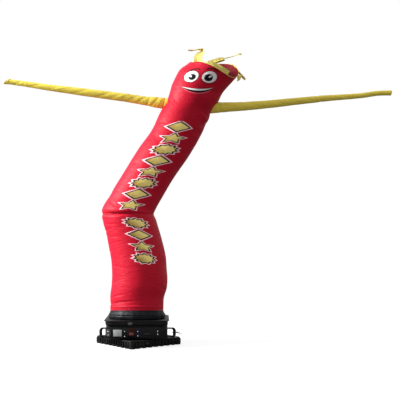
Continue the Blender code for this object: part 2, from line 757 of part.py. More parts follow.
def make_handles():
    """The two handles and the tie that is knotted round the right one's grip."""
    for side, (name, reach) in zip((-1, 1), HANDLE_REACH.items()):
        tube_curve(name, handle_path(side, reach), MATERIALS["black_plastic"])
    grip = Vector((TOWER_X + HANDLE_REACH["handle_right"], HANDLE_Y, TIE_HEIGHT))
    bm = bmesh.new()
    bmesh.ops.create_circle(bm, segments=4, radius=TIE_BAR)
    bmesh.ops.rotate(bm, matrix=Matrix.Rotation(math.pi / 2, 3, "X"), verts=bm.verts)
    bmesh.ops.translate(bm, vec=(TIE_LOOP_RADIUS, 0, 0), verts=bm.verts)
    bmesh.ops.spin(
        bm, geom=list(bm.verts) + list(bm.edges), cent=(0, 0, 0), axis=(0, 0, 1),
        angle=2 * math.pi, steps=16, use_merge=True, use_duplicate=False,
    )
    bmesh.ops.remove_doubles(bm, verts=bm.verts, dist=FINE_MERGE)
    tie = place("tether_tie", mesh_from("tether_tie", bm), MATERIALS["black_nylon"])
    tie.location = grip
    knot_at = grip + Vector(KNOT_OFFSET)
    knot = rounded_box("tie_knot", KNOT_SIZE, KNOT_CORNER, knot_at, None)
    tails = []
    for name, end in TIE_TAILS.items():
        bend = knot_at + Vector(end) / 2 + Vector((0, 0, TAIL_RISE))
        path = [(stop, TIE_TAIL_BAR) for stop in (knot_at, bend, knot_at + Vector(end))]
        tails.append(curve_to_mesh(tube_curve(name, path, None, 0)))
    for piece in [knot] + tails:
        as_cutter(piece)
        boolean(tie, piece, "UNION")


clear_scene()
PARTS = new_collection("air_dancer")
CUTTERS = new_collection("cutters")
MATERIALS = {name: make_material(name) for name in COLOURS}
BODY = BodyTube(TUBE_RINGS)
make_body(BODY)
make_collar()
make_arms(BODY)
make_hair(BODY)
make_base()
make_housing()
make_latch()
make_fascia()
make_handles()
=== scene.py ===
"""The finished look of an inflatable air dancer on its blower.

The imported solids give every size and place. This script makes the fine cloth over them, dresses the
moulded parts, and sets up a plain studio. Metres, +Z up, -Y towards the viewer.
"""

import logging
import math
from dataclasses import dataclass, field
from enum import Enum
from typing import Callable, Optional, Sequence, Union

import bpy
import numpy as np
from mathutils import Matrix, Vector

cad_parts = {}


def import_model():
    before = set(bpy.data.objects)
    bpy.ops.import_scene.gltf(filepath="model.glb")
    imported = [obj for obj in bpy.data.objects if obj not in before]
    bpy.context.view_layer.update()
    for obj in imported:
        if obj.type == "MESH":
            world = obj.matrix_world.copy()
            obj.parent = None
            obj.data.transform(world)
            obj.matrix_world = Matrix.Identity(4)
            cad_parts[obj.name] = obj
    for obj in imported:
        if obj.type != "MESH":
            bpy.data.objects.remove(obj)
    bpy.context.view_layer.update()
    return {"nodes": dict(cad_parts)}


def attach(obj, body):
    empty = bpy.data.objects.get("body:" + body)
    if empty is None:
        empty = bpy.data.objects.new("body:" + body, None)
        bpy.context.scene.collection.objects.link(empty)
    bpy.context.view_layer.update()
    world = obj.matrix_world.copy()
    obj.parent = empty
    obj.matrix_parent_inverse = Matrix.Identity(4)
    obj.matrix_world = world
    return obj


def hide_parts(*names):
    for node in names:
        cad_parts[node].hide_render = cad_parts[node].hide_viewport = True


LOG = logging.getLogger("air_dancer")
BODY = "root"

Colour = tuple[float, float, float, float]
Feed = Union[float, Sequence[float], bpy.types.NodeSocket]


def rgb(red: float, green: float, blue: float) -> Colour:
    """Return a linear colour with full cover.

    Args:
        red: Red, 0 to 1.
        green: Green, 0 to 1.
        blue: Blue, 0 to 1.

    Returns:
        The colour with an alpha of 1.
    """
    return (red, green, blue, 1.0)


class Workbench:
    """Adds primitives and edits them with Blender's own operators."""

    @staticmethod
    def clear() -> None:
        """Leave edit mode and deselect every object."""
        if bpy.context.object and bpy.context.object.mode != "OBJECT":
            bpy.ops.object.mode_set(mode="OBJECT")
        bpy.ops.object.select_all(action="DESELECT")

    @staticmethod
    def pick(piece: bpy.types.Object) -> None:
        """Make a piece the only one that is selected and active."""
        Workbench.clear()
        piece.select_set(True)
        bpy.context.view_layer.objects.active = piece

    @staticmethod
    def named(name: str) -> bpy.types.Object:
        """Name the primitive that was just added, and return it."""
        piece = bpy.context.object
        piece.name = name
        piece.data.name = name
        return piece

    @staticmethod
    def settle(piece: bpy.types.Object) -> None:
        """Move a piece's place, turn and scale into its mesh."""
        Workbench.pick(piece)
        bpy.ops.object.transform_apply(location=True, rotation=True, scale=True)

    @staticmethod
    def select(piece: bpy.types.Object, kind: str, test: Callable[..., bool]) -> None:
        """Enter edit mode with only the parts of a mesh that pass a test selected.

        Args:
            piece: The mesh to edit.
            kind: VERT, EDGE or FACE.
            test: Takes a vertex, an edge with its mesh's vertices, or a face.
        """
        Workbench.pick(piece)
        bpy.ops.object.mode_set(mode="EDIT")
        bpy.ops.mesh.select_mode(type=kind)
        bpy.ops.mesh.select_all(action="DESELECT")
        bpy.ops.object.mode_set(mode="OBJECT")
        mesh = piece.data
        if kind == "VERT":
            for vert in mesh.vertices:
                vert.select = test(vert)
        elif kind == "EDGE":
            for edge in mesh.edges:
                edge.select = test(edge, mesh.vertices)
        else:
            for face in mesh.polygons:
                face.select = test(face)
        bpy.ops.object.mode_set(mode="EDIT")

    @staticmethod
    def done() -> None:
        """Leave edit mode."""
        bpy.ops.object.mode_set(mode="OBJECT")

    @staticmethod
    def apply(piece: bpy.types.Object, kind: str, **settings: object) -> None:
        """Add a modifier, set it and apply it.

        Args:
            piece: The mesh to change.
            kind: Blender's name for the modifier.
            settings: The modifier's own settings.
        """
        Workbench.pick(piece)
        step = piece.modifiers.new(kind.lower(), kind)
        for name, value in settings.items():
            setattr(step, name, value)
        bpy.ops.object.modifier_apply(modifier=step.name)

    @staticmethod
    def face_out(piece: bpy.types.Object) -> None:
        """Turn all of a mesh's faces outwards."""
        Workbench.select(piece, "FACE", lambda face: True)
        bpy.ops.mesh.normals_make_consistent(inside=False)
        Workbench.done()

    @staticmethod
    def soften(piece: bpy.types.Object, degrees: float = 40.0) -> None:
        """Shade a piece smooth, with sharp edges past an angle."""
        Workbench.pick(piece)
        bpy.ops.object.shade_smooth_by_angle(angle=math.radians(degrees))

    @staticmethod
    def grid_tube(name: str, segments: int, spans: tuple[int, int]) -> bpy.types.Object:
        """Add an open cylinder and cut its uprights into even spans.

        Args:
            name: The piece's name.
            segments: How many faces go round.
            spans: The spans along it, as two factors of their number.

        Returns:
            A cylinder of radius 1 and height 1 round the origin.
        """
        Workbench.clear()
        bpy.ops.mesh.primitive_cylinder_add(vertices=segments, radius=1, depth=1, end_fill_type="NOTHING")
        tube = Workbench.named(name)
        for share in spans:
            if share > 1:
                Workbench.select(tube, "EDGE", upright)
                bpy.ops.mesh.subdivide(number_cuts=share - 1)
                Workbench.done()
        return tube


def upright(edge: bpy.types.MeshEdge, verts: bpy.types.MeshVertices) -> bool:
    """Tell whether an edge of a plain cylinder runs along its axis."""
    low, high = (verts[i].co for i in edge.vertices)
    return abs(low.z - high.z) > 1e-5


class SmoothCurve:
    """A curve through a column of values that never swings past them."""

    def __init__(self, steps: Sequence[float], values: Sequence[float]) -> None:
        """Work out the slope at each step."""
        self.steps = np.asarray(steps, float)
        self.values = np.asarray(values, float)
        span = np.diff(self.steps)
        slope = np.diff(self.values) / span
        rate = np.zeros_like(self.values)
        rate[0], rate[-1] = slope[0], slope[-1]
        for i in range(1, len(rate) - 1):
            if slope[i - 1] * slope[i] > 0:
                near = 2 * span[i] + span[i - 1]
                far = span[i] + 2 * span[i - 1]
                rate[i] = (near + far) / (near / slope[i - 1] + far / slope[i])
        self.rate = rate

    def __call__(self, step: np.ndarray) -> np.ndarray:
        """Return the values at the steps."""
        step = np.asarray(step, float)
        i = np.clip(np.searchsorted(self.steps, step) - 1, 0, len(self.steps) - 2)
        span = self.steps[i + 1] - self.steps[i]
        t = (step - self.steps[i]) / span
        return (
            self.values[i] * (1 + 2 * t) * (1 - t) ** 2
            + span * self.rate[i] * t * (1 - t) ** 2
            + self.values[i + 1] * t * t * (3 - 2 * t)
            + span * self.rate[i + 1] * t * t * (t - 1)
        )


def hump(distance: np.ndarray, reach: float) -> np.ndarray:
    """Return a smooth hump, 1 in the middle and about 0 beyond two reaches."""
    return np.exp(-((distance / reach) ** 2))


def turn_from(angle: np.ndarray, middle: float) -> np.ndarray:
    """Return the signed turn in degrees from a middle to the angles."""
    return (angle - middle + 180) % 360 - 180


@dataclass(frozen=True)
class Ring:
    """One ring of a cloth tube: its middle, its radius, and how it leans, in metres and degrees."""

    height: float
    across: float
    back: float
    radius: float
    roll: float = 0.0
    pitch: float = 0.0


@dataclass(frozen=True)
class Crease:
    """A soft trough or ridge in cloth: where it is, its reach and its depth (ridges positive).

    Tilt is how many metres it climbs for each degree round the tube.
    """

    height: float
    angle: float
    tall: float
    wide: float
    depth: float
    tilt: float = 0.0

    def relief(self, height: np.ndarray, angle: np.ndarray) -> np.ndarray:
        """Return how far the crease moves the wall at the given places."""
        turn = turn_from(angle, self.angle)
        along = height - self.height - self.tilt * turn
        return self.depth * hump(along, self.tall) * hump(turn, self.wide)


class RingTube:
    """A cloth tube that follows rings from its lower edge to its upper one."""

    def __init__(self, rings: Sequence[Ring], creases: Sequence[Crease] = ()) -> None:
        """Keep a smooth curve for each measure of the rings."""
        heights = [ring.height for ring in rings]
        self.low, self.high = heights[0], heights[-1]
        self.creases = creases
        self.curves = {
            name: SmoothCurve(heights, [getattr(ring, name) for ring in rings])
            for name in ("across", "back", "radius", "roll", "pitch")
        }

    def swell(self, height: np.ndarray, angle: np.ndarray) -> np.ndarray:
        """Return how far the wall stands out from its round ring."""
        total = np.zeros_like(height)
        for crease in self.creases:
            total += crease.relief(height, angle)
        return total

    def level(self, height: np.ndarray, angle: np.ndarray) -> np.ndarray:
        """Return the ring that a place on the wall belongs to."""
        return height

    def place(self, height: np.ndarray, angle: np.ndarray, out: float = 0.0) -> np.ndarray:
        """Return points on the wall.

        Args:
            height: The ring of each point.
            angle: The angle of each point round its ring, in degrees.
            out: How far the points stand out from the wall.

        Returns:
            One row of three coordinates for each point.
        """
        level = self.level(height, angle)
        value = {name: curve(level) for name, curve in self.curves.items()}
        roll, pitch = np.radians(value["roll"]), np.radians(value["pitch"])
        turn = np.radians(angle)
        zero = np.zeros_like(level)
        across = np.stack([np.cos(roll), zero, -np.sin(roll)], 1)
        tall = np.stack([np.sin(roll), zero, np.cos(roll)], 1)
        back = tall * np.sin(pitch)[:, None]
        back[:, 1] += np.cos(pitch)
        middle = np.stack([value["across"], value["back"], level], 1)
        reach = (value["radius"] + self.swell(level, angle) + self.gather(height, angle) + out)[:, None]
        return middle + reach * (across * np.cos(turn)[:, None] + back * np.sin(turn)[:, None])

    def gather(self, height: np.ndarray, angle: np.ndarray) -> np.ndarray:
        """Return how far puckers move the wall. A plain tube has none."""
        return np.zeros_like(height)

    def length(self, height: np.ndarray) -> np.ndarray:
        """Return the length along the tube's middle line, from its lower edge."""
        steps = np.linspace(self.low, self.high, 400)
        line = np.stack([self.curves["across"](steps), self.curves["back"](steps), steps], 1)
        run = np.concatenate([[0], np.cumsum(np.linalg.norm(np.diff(line, axis=0), axis=1))])
        return np.interp(height, steps, run)


@dataclass
class TubeMesh:
    """Turns a tube's rule into a mesh with its cloth coordinates.

    The piece's UV map holds metres: round the tube from its front line, and along it.
    """

    name: str
    segments: int
    spans: tuple[int, int]
    levels: np.ndarray

    def build(self, place: Callable, run: Callable, radius: Callable) -> bpy.types.Object:
        """Make the open surface.

        Args:
            place: Gives points for levels and angles.
            run: Gives the length along the cloth for levels.
            radius: Gives the radius for levels.

        Returns:
            The surface, with its faces out.
        """
        piece = Workbench.grid_tube(self.name, self.segments, self.spans)
        mesh = piece.data
        plain = np.empty(len(mesh.vertices) * 3)
        mesh.vertices.foreach_get("co", plain)
        plain = plain.reshape(-1, 3)
        row = np.rint((plain[:, 2] + 0.5) * (len(self.levels) - 1)).astype(int)
        angle = np.degrees(np.arctan2(plain[:, 1], plain[:, 0])) % 360
        height = self.levels[row]
        mesh.vertices.foreach_set("co", place(height, angle).ravel())
        self.lay_out(mesh, np.radians(turn_from(angle, 270)), run(height), radius(height))
        mesh.update()
        Workbench.face_out(piece)
        return piece

    @staticmethod
    def lay_out(mesh: bpy.types.Mesh, turn: np.ndarray, run: np.ndarray, radius: np.ndarray) -> None:
        """Write the cloth coordinates, in metres, with the seam at the back."""
        corner = np.empty(len(mesh.loops), int)
        mesh.loops.foreach_get("vertex_index", corner)
        around = turn[corner].reshape(-1, 4)
        around = around + 2 * math.pi * (around < around[:, :1] - math.pi)
        around = around - 2 * math.pi * (around > around[:, :1] + math.pi)
        flat = np.stack([around.ravel() * radius[corner], run[corner]], 1)
        mesh.uv_layers[0].uv.foreach_set("vector", flat.ravel())


def spaced_levels(low: float, spans: Sequence[tuple[float, int]]) -> np.ndarray:
    """Return the heights of a tube's rings.

    Args:
        low: Where the first span starts.
        spans: Where each span ends, and how many rings it holds.

    Returns:
        The heights, from the lowest up.
    """
    levels = [low]
    for high, count in spans:
        levels += list(np.linspace(levels[-1], high, count + 1)[1:])
    return np.array(levels)


class Graph:
    """Adds nodes to a material or group and joins them."""

    def __init__(self, tree: bpy.types.NodeTree) -> None:
        """Keep the tree that nodes go into."""
        self.tree = tree

    def feed(self, socket: bpy.types.NodeSocket, value: Feed) -> None:
        """Link a socket, or set its value."""
        if isinstance(value, bpy.types.NodeSocket):
            self.tree.links.new(value, socket)
        else:
            socket.default_value = value

    def node(self, kind: str, **settings: object) -> bpy.types.Node:
        """Add a node and set it."""
        made = self.tree.nodes.new(f"ShaderNode{kind}")
        for name, value in settings.items():
            setattr(made, name, value)
        return made

    def maths(self, operation: str, *values: Feed) -> bpy.types.NodeSocket:
        """Add a Math node.

        Args:
            operation: Blender's name for the sum.
            values: Numbers or sockets.

        Returns:
            The result's socket.
        """
        node = self.node("Math", operation=operation)
        for socket, value in zip(node.inputs, values):
            self.feed(socket, value)
        return node.outputs[0]

    def ramp(
        self, value: Feed, low: float, high: float, start: float = 0.0, end: float = 1.0
    ) -> bpy.types.NodeSocket:
        """Map a value smoothly from one range to another, and hold it at the ends."""
        node = self.node("MapRange", interpolation_type="SMOOTHSTEP")
        names = ("Value", "From Min", "From Max", "To Min", "To Max")
        for name, given in zip(names, (value, low, high, start, end)):
            self.feed(node.inputs[name], given)
        return node.outputs["Result"]

    def mix(self, share: Feed, first: Feed, second: Feed) -> bpy.types.NodeSocket:
        """Mix two colours by a share."""
        node = self.node("Mix", data_type="RGBA")
        self.feed(node.inputs["Factor"], share)
        self.feed(node.inputs[6], first)
        self.feed(node.inputs[7], second)
        return node.outputs[2]

    def split(self, vector: bpy.types.NodeSocket) -> tuple:
        """Return a vector's three parts."""
        node = self.node("SeparateXYZ")
        self.feed(node.inputs[0], vector)
        return tuple(node.outputs)

    def joined(self, x: Feed, y: Feed, z: Feed = 0.0) -> bpy.types.NodeSocket:
        """Return a vector made of three parts."""
        node = self.node("CombineXYZ")
        for socket, value in zip(node.inputs, (x, y, z)):
            self.feed(socket, value)
        return node.outputs[0]

    def noise(self, place: Feed, scale: Feed, detail: float = 2.0) -> bpy.types.NodeSocket:
        """Return noise from 0 to 1."""
        node = self.node("TexNoise")
        self.feed(node.inputs["Vector"], place)
        self.feed(node.inputs["Scale"], scale)
        node.inputs["Detail"].default_value = detail
        return node.outputs[0]

    def stretched(
        self, place: Feed, scale: tuple[float, float, float], turn: float = 0.0
    ) -> bpy.types.NodeSocket:
        """Return a place that is turned about Z in degrees and then stretched."""
        node = self.node("Mapping")
        self.feed(node.inputs["Vector"], place)
        node.inputs["Rotation"].default_value = (0, 0, math.radians(turn))
        node.inputs["Scale"].default_value = scale
        return node.outputs[0]

    def coordinates(self, kind: str) -> bpy.types.NodeSocket:
        """Return Object or UV coordinates."""
        return self.node("TexCoord").outputs[kind]


class Effects:
    """The node groups that several materials share, each made once."""

    made: dict[str, bpy.types.NodeTree] = {}

    @classmethod
    def start(cls, name: str, takes: dict[str, tuple[str, object]], gives: dict[str, str]) -> tuple:
        """Make an empty group with its sockets.

        Args:
            name: The group's name.
            takes: The type and first value of each input.
            gives: The type of each output.

        Returns:
            The graph, the inputs' sockets and the outputs' sockets.
        """
        tree = bpy.data.node_groups.new(name, "ShaderNodeTree")
        for label, (kind, value) in takes.items():
            socket = tree.interface.new_socket(label, in_out="INPUT", socket_type=f"NodeSocket{kind}")
            if kind != "Vector":
                socket.default_value = value
        for label, kind in gives.items():
            tree.interface.new_socket(label, in_out="OUTPUT", socket_type=f"NodeSocket{kind}")
        inlet = tree.nodes.new("NodeGroupInput")
        outlet = tree.nodes.new("NodeGroupOutput")
        cls.made[name] = tree
        return Graph(tree), inlet.outputs, outlet.inputs

    @classmethod
    def use(cls, graph: Graph, name: str, **values: Feed) -> bpy.types.bpy_prop_collection:
        """Place a group in a material, and make it first if it isn't there.

        Args:
            graph: The material's graph.
            name: The group's name.
            values: Its inputs, with underscores for spaces.

        Returns:
            The group's outputs, by name.
        """
        if name not in cls.made:
            getattr(cls, name)()
        node = graph.node("Group", node_tree=cls.made[name])
        for label, value in values.items():
            graph.feed(node.inputs[label.replace("_", " ").title()], value)
        return node.outputs

    @classmethod
    def ripstop(cls) -> None:
        """Thin woven nylon with a raised grid of stronger threads."""
        takes = {
            "Place": ("Vector", None),
            "Colour": ("Color", rgb(1, 1, 1)),
            "Grid": ("Float", 0.008),
            "Thread": ("Float", 0.0016),
        }
        graph, given, out = cls.start("ripstop", takes, {"Colour": "Color", "Height": "Float"})
        x, y, _ = graph.split(given["Place"])
        lines, threads = [], []
        for side in (x, y):
            across = graph.maths("PINGPONG", side, graph.maths("MULTIPLY", given["Grid"], 0.5))
            near = graph.maths("DIVIDE", across, given["Grid"])
            lines.append(graph.ramp(near, 0.03, 0.09, 1.0, 0.0))
            wave = graph.maths("DIVIDE", side, given["Thread"])
            threads.append(graph.maths("SINE", graph.maths("MULTIPLY", wave, 2 * math.pi)))
        grid = graph.maths("MAXIMUM", *lines)
        weave = graph.maths("MULTIPLY", *threads)
        shade = graph.maths("MULTIPLY_ADD", weave, 0.03, 0.0)
        shade = graph.maths("MULTIPLY_ADD", grid, 0.1, shade)
        uneven = graph.noise(given["Place"], 9.0, 3.0)
        shade = graph.maths("MULTIPLY_ADD", graph.maths("SUBTRACT", uneven, 0.5), 0.25, shade)
        darker = graph.mix(0.35, given["Colour"], rgb(0, 0, 0))
        graph.feed(out["Colour"], graph.mix(graph.maths("ADD", shade, 0.1), given["Colour"], darker))
        height = graph.maths("MULTIPLY_ADD", weave, 0.00004, graph.maths("MULTIPLY", grid, 0.00012))
        graph.feed(out["Height"], height)

    @classmethod
    def crumple(cls) -> None:
        """The small soft creases of cloth that has been packed and blown up many times."""
        takes = {"Place": ("Vector", None), "Scale": ("Float", 6.0), "Depth": ("Float", 0.003)}
        graph, given, out = cls.start("crumple", takes, {"Height": "Float"})
        warp = graph.noise(given["Place"], graph.maths("MULTIPLY", given["Scale"], 0.5), 1.0)
        near = graph.joined(warp, warp, warp)
        moved = graph.node("VectorMath", operation="MULTIPLY_ADD")
        graph.feed(moved.inputs[0], near)
        moved.inputs[1].default_value = (0.12, 0.12, 0.12)
        graph.feed(moved.inputs[2], given["Place"])
        long = graph.noise(graph.stretched(moved.outputs[0], (1, 1, 3.2)), given["Scale"], 2.0)
        ridge = graph.maths("ABSOLUTE", graph.maths("SUBTRACT", long, 0.5))
        sharp = graph.ramp(ridge, 0.0, 0.09, 1.0, 0.0)
        soft = graph.noise(given["Place"], graph.maths("MULTIPLY", given["Scale"], 0.6), 2.0)
        total = graph.maths("MULTIPLY_ADD", sharp, 0.25, soft)
        graph.feed(out["Height"], graph.maths("MULTIPLY", total, given["Depth"]))

    @classmethod
    def dusting(cls) -> None:
        """Pale dust that gathers low down and in patches."""
        takes = {
            "Place": ("Vector", None),
            "Colour": ("Color", rgb(1, 1, 1)),
            "Roughness": ("Float", 0.5),
            "Amount": ("Float", 0.2),
            "Top": ("Float", 0.12),
        }
        graph, given, out = cls.start("dusting", takes, {"Colour": "Color", "Roughness": "Float"})
        _, _, z = graph.split(given["Place"])
        low = graph.maths("DIVIDE", z, given["Top"])
        fall = graph.ramp(low, 0.0, 1.0, 1.0, 0.25)
        patch = graph.ramp(graph.noise(given["Place"], 14.0, 4.0), 0.4, 0.7)
        share = graph.maths("MULTIPLY", graph.maths("MULTIPLY", fall, patch), given["Amount"])
        graph.feed(out["Colour"], graph.mix(share, given["Colour"], rgb(0.32, 0.3, 0.27)))
        graph.feed(out["Roughness"], graph.maths("MULTIPLY_ADD", share, 0.35, given["Roughness"]))

    @classmethod
    def moulding(cls) -> None:
        """The fine leathery grain of moulded plastic, with faint scuffs."""
        takes = {"Place": ("Vector", None), "Grain": ("Float", 0.0025), "Scuffs": ("Float", 0.3)}
        graph, given, out = cls.start("moulding", takes, {"Height": "Float", "Scuff": "Float"})
        scale = graph.maths("DIVIDE", 1.0, given["Grain"])
        cells = graph.node("TexVoronoi", feature="SMOOTH_F1")
        graph.feed(cells.inputs["Vector"], given["Place"])
        graph.feed(cells.inputs["Scale"], scale)
        graph.feed(out["Height"], graph.maths("MULTIPLY", cells.outputs["Distance"], 0.0002))
        streak = graph.noise(graph.stretched(given["Place"], (1, 1, 12), 20), 26.0, 4.0)
        scuff = graph.maths("MULTIPLY", graph.ramp(streak, 0.6, 0.75), given["Scuffs"])
        graph.feed(out["Scuff"], scuff)

    @classmethod
    def stitches(cls) -> None:
        """A row of thread stitches round a piece."""
        takes = {"Place": ("Vector", None), "Line": ("Float", 0.01), "Pitch": ("Float", 0.006)}
        graph, given, out = cls.start("stitches", takes, {"Mask": "Float"})
        x, y, _ = graph.split(given["Place"])
        off = graph.maths("ABSOLUTE", graph.maths("SUBTRACT", y, given["Line"]))
        thread = graph.ramp(off, 0.0005, 0.0013, 1.0, 0.0)
        run = graph.maths("FRACT", graph.maths("DIVIDE", x, given["Pitch"]))
        dash = graph.ramp(graph.maths("ABSOLUTE", graph.maths("SUBTRACT", run, 0.5)), 0.3, 0.4, 1.0, 0.0)
        graph.feed(out["Mask"], graph.maths("MULTIPLY", thread, dash))

    @classmethod
    def oval(cls) -> None:
        """An oval print: how far out from its middle a place is, 1 at its edge."""
        takes = {
            "Place": ("Vector", None),
            "Across": ("Float", 0.0),
            "Upward": ("Float", 0.0),
            "Half Width": ("Float", 0.1),
            "Half Height": ("Float", 0.1),
            "Turn": ("Float", 0.0),
        }
        graph, given, out = cls.start("oval", takes, {"Reach": "Float"})
        x, y, _ = graph.split(given["Place"])
        x = graph.maths("SUBTRACT", x, given["Across"])
        y = graph.maths("SUBTRACT", y, given["Upward"])
        cosine, sine = graph.maths("COSINE", given["Turn"]), graph.maths("SINE", given["Turn"])
        right = graph.maths("MULTIPLY_ADD", y, sine, graph.maths("MULTIPLY", x, cosine))
        back = graph.maths("MULTIPLY", x, sine)
        upward = graph.maths("SUBTRACT", graph.maths("MULTIPLY", y, cosine), back)
        wide = graph.maths("DIVIDE", right, given["Half Width"])
        tall = graph.maths("DIVIDE", upward, given["Half Height"])
        square = graph.maths("MULTIPLY_ADD", wide, wide, graph.maths("MULTIPLY", tall, tall))
        graph.feed(out["Reach"], graph.maths("SQRT", square))


@dataclass(frozen=True)
class Finish:
    """What all finishes share: a name, a colour and a roughness."""

    name: str
    colour: Colour
    roughness: float

    def shader(self) -> tuple[bpy.types.Material, Graph, bpy.types.Node]:
        """Make a material with one Principled shader.

        Returns:
            The material, its graph and its shader.
        """
        material = bpy.data.materials.new(self.name)
        material.use_nodes = True
        shader = material.node_tree.nodes["Principled BSDF"]
        shader.inputs["Roughness"].default_value = self.roughness
        return material, Graph(material.node_tree), shader

    @staticmethod
    def relief(graph: Graph, shader: bpy.types.Node, height: Feed, strength: float = 1.0) -> None:
        """Join a height in metres to a shader's normal."""
        bump = graph.node("Bump")
        bump.inputs["Strength"].default_value = strength
        bump.inputs["Distance"].default_value = 1.0
        graph.feed(bump.inputs["Height"], height)
        graph.feed(shader.inputs["Normal"], bump.outputs[0])


@dataclass(frozen=True)
class Nylon(Finish):
    """Thin woven nylon. Crumple is the depth of its small creases. Inside is painted shade: a darker colour
    on the wall's inner face.
    """

    sheen: float = 0.02
    specular: float = 0.09
    inside: Optional[Colour] = None
    crumple: float = 0.003
    crumple_scale: float = 6.0
    flat: bool = True

    def make(
        self, printed: Optional["TubePrint"] = None, stitch_lines: Sequence[float] = ()
    ) -> bpy.types.Material:
        """Build the material.

        Args:
            printed: What is printed on the cloth, if anything.
            stitch_lines: Where rows of stitches go round the piece, along its cloth.

        Returns:
            The material.
        """
        material, graph, shader = self.shader()
        place = graph.coordinates("Object")
        cloth = graph.coordinates("UV") if self.flat else place
        colour: Feed = self.colour
        if printed:
            colour = printed.paint(graph, cloth, place, colour)
        weave = Effects.use(graph, "ripstop", place=cloth, colour=colour)
        creases = Effects.use(graph, "crumple", place=place, depth=self.crumple, scale=self.crumple_scale)
        fine = Effects.use(
            graph, "crumple", place=place, depth=self.crumple * 0.3, scale=self.crumple_scale * 4
        )
        height = graph.maths("ADD", weave["Height"], graph.maths("ADD", creases["Height"], fine["Height"]))
        colour = weave["Colour"]
        # The wall's inner face is mixed towards a darker colour: painted shade for the inside of the tube.
        if self.inside:
            inside_shade_share = graph.node("Attribute", attribute_name="inside").outputs["Fac"]
            colour = graph.mix(inside_shade_share, colour, self.inside)
        for line in stitch_lines:
            mask = Effects.use(graph, "stitches", place=cloth, line=line)["Mask"]
            colour = graph.mix(graph.maths("MULTIPLY", mask, 0.45), colour, rgb(0.02, 0.005, 0.006))
            height = graph.maths("MULTIPLY_ADD", mask, 0.0005, height)
        graph.feed(shader.inputs["Base Color"], colour)
        shader.inputs["Diffuse Roughness"].default_value = 0.3
        shader.inputs["Sheen Weight"].default_value = self.sheen
        shader.inputs["Sheen Roughness"].default_value = 0.4
        shader.inputs["Specular IOR Level"].default_value = self.specular
        self.relief(graph, shader, height)
        return material


@dataclass(frozen=True)
class Plastic(Finish):
    """Moulded plastic with a grain, scuffs and dust."""

    grain: float = 0.0025
    scuffs: float = 0.3
    dust: float = 0.25
    coat: float = 0.0
    specular: float = 0.3

    def make(self) -> bpy.types.Material:
        """Build the material."""
        material, graph, shader = self.shader()
        place = graph.coordinates("Object")
        surface = Effects.use(graph, "moulding", place=place, grain=self.grain, scuffs=self.scuffs)
        worn = graph.mix(surface["Scuff"], self.colour, rgb(0.14, 0.14, 0.14))
        dusty = Effects.use(
            graph, "dusting", place=place, colour=worn, roughness=self.roughness, amount=self.dust, top=0.2
        )
        shader.inputs["Specular IOR Level"].default_value = self.specular
        graph.feed(shader.inputs["Base Color"], dusty["Colour"])
        graph.feed(shader.inputs["Roughness"], dusty["Roughness"])
        shader.inputs["Coat Weight"].default_value = self.coat
        shader.inputs["Coat Roughness"].default_value = 0.15
        self.relief(graph, shader, surface["Height"])
        return material


@dataclass(frozen=True)
class Steel(Finish):
    """Plated steel with fine turning lines."""

    def make(self) -> bpy.types.Material:
        """Build the material."""
        material, graph, shader = self.shader()
        place = graph.coordinates("Object")
        lines = graph.noise(graph.stretched(place, (1, 1, 40)), 90.0, 3.0)
        dusty = Effects.use(
            graph, "dusting", place=place, colour=self.colour, roughness=self.roughness, amount=0.3
        )
        graph.feed(shader.inputs["Base Color"], dusty["Colour"])
        graph.feed(
            shader.inputs["Roughness"], graph.ramp(lines, 0.2, 0.8, self.roughness, self.roughness + 0.2)
        )
        shader.inputs["Metallic"].default_value = 1.0
        self.relief(graph, shader, graph.maths("MULTIPLY", lines, 0.00005))
        return material


class Mark(Enum):
    """The plain marks in the printed column, by their place in the cycle."""

    STAR = 0
    DIAMOND = 1
    BURST = 2


@dataclass(frozen=True)
class Oval:
    """A printed oval: its middle, half sizes and turn, in metres and degrees."""

    across: float
    upward: float
    half_width: float
    half_height: float
    turn: float = 0.0

    def mask(
        self, graph: Graph, plane: bpy.types.NodeSocket, grow: float = 0.0, soft: float = 0.03
    ) -> bpy.types.NodeSocket:
        """Return 1 inside the oval and 0 outside it.

        Args:
            graph: The material's graph.
            plane: The place on the print.
            grow: How much wider the oval is made all round, in metres.
            soft: How soft its edge is.

        Returns:
            The mask's socket.
        """
        reach = Effects.use(
            graph,
            "oval",
            place=plane,
            across=self.across,
            upward=self.upward,
            half_width=self.half_width + grow,
            half_height=self.half_height + grow,
            turn=math.radians(self.turn),
        )["Reach"]
        return graph.ramp(reach, 1 - soft, 1 + soft, 1.0, 0.0)


@dataclass(frozen=True)
class Eye:
    """A printed eye: its white, its pupil, the light in the pupil, and the brow over it."""

    white: Oval
    pupil: Oval
    light: Oval
    brow: Oval
    brow_drop: float = 0.0105

    def paint(self, graph: Graph, plane: bpy.types.NodeSocket, ground: Feed) -> bpy.types.NodeSocket:
        """Print the eye over a colour."""
        edge = self.white.mask(graph, plane, 0.007, 0.06)
        ground = graph.mix(graph.maths("MULTIPLY", edge, 0.6), ground, rgb(0.06, 0.004, 0.008))
        ground = graph.mix(self.white.mask(graph, plane), ground, rgb(0.88, 0.86, 0.86))
        ground = graph.mix(self.pupil.mask(graph, plane, 0.0, 0.06), ground, rgb(0.006, 0.006, 0.008))
        ground = graph.mix(self.light.mask(graph, plane, 0.0, 0.12), ground, rgb(0.85, 0.85, 0.85))
        size = self.brow
        below = Oval(size.across, size.upward - self.brow_drop, size.half_width, size.half_height, size.turn)
        outside = graph.maths("SUBTRACT", 1.0, below.mask(graph, plane, 0.0, 0.05))
        brow = graph.maths("MULTIPLY", size.mask(graph, plane, 0.0, 0.05), outside)
        return graph.mix(graph.maths("MULTIPLY", brow, 0.9), ground, rgb(0.035, 0.004, 0.006))


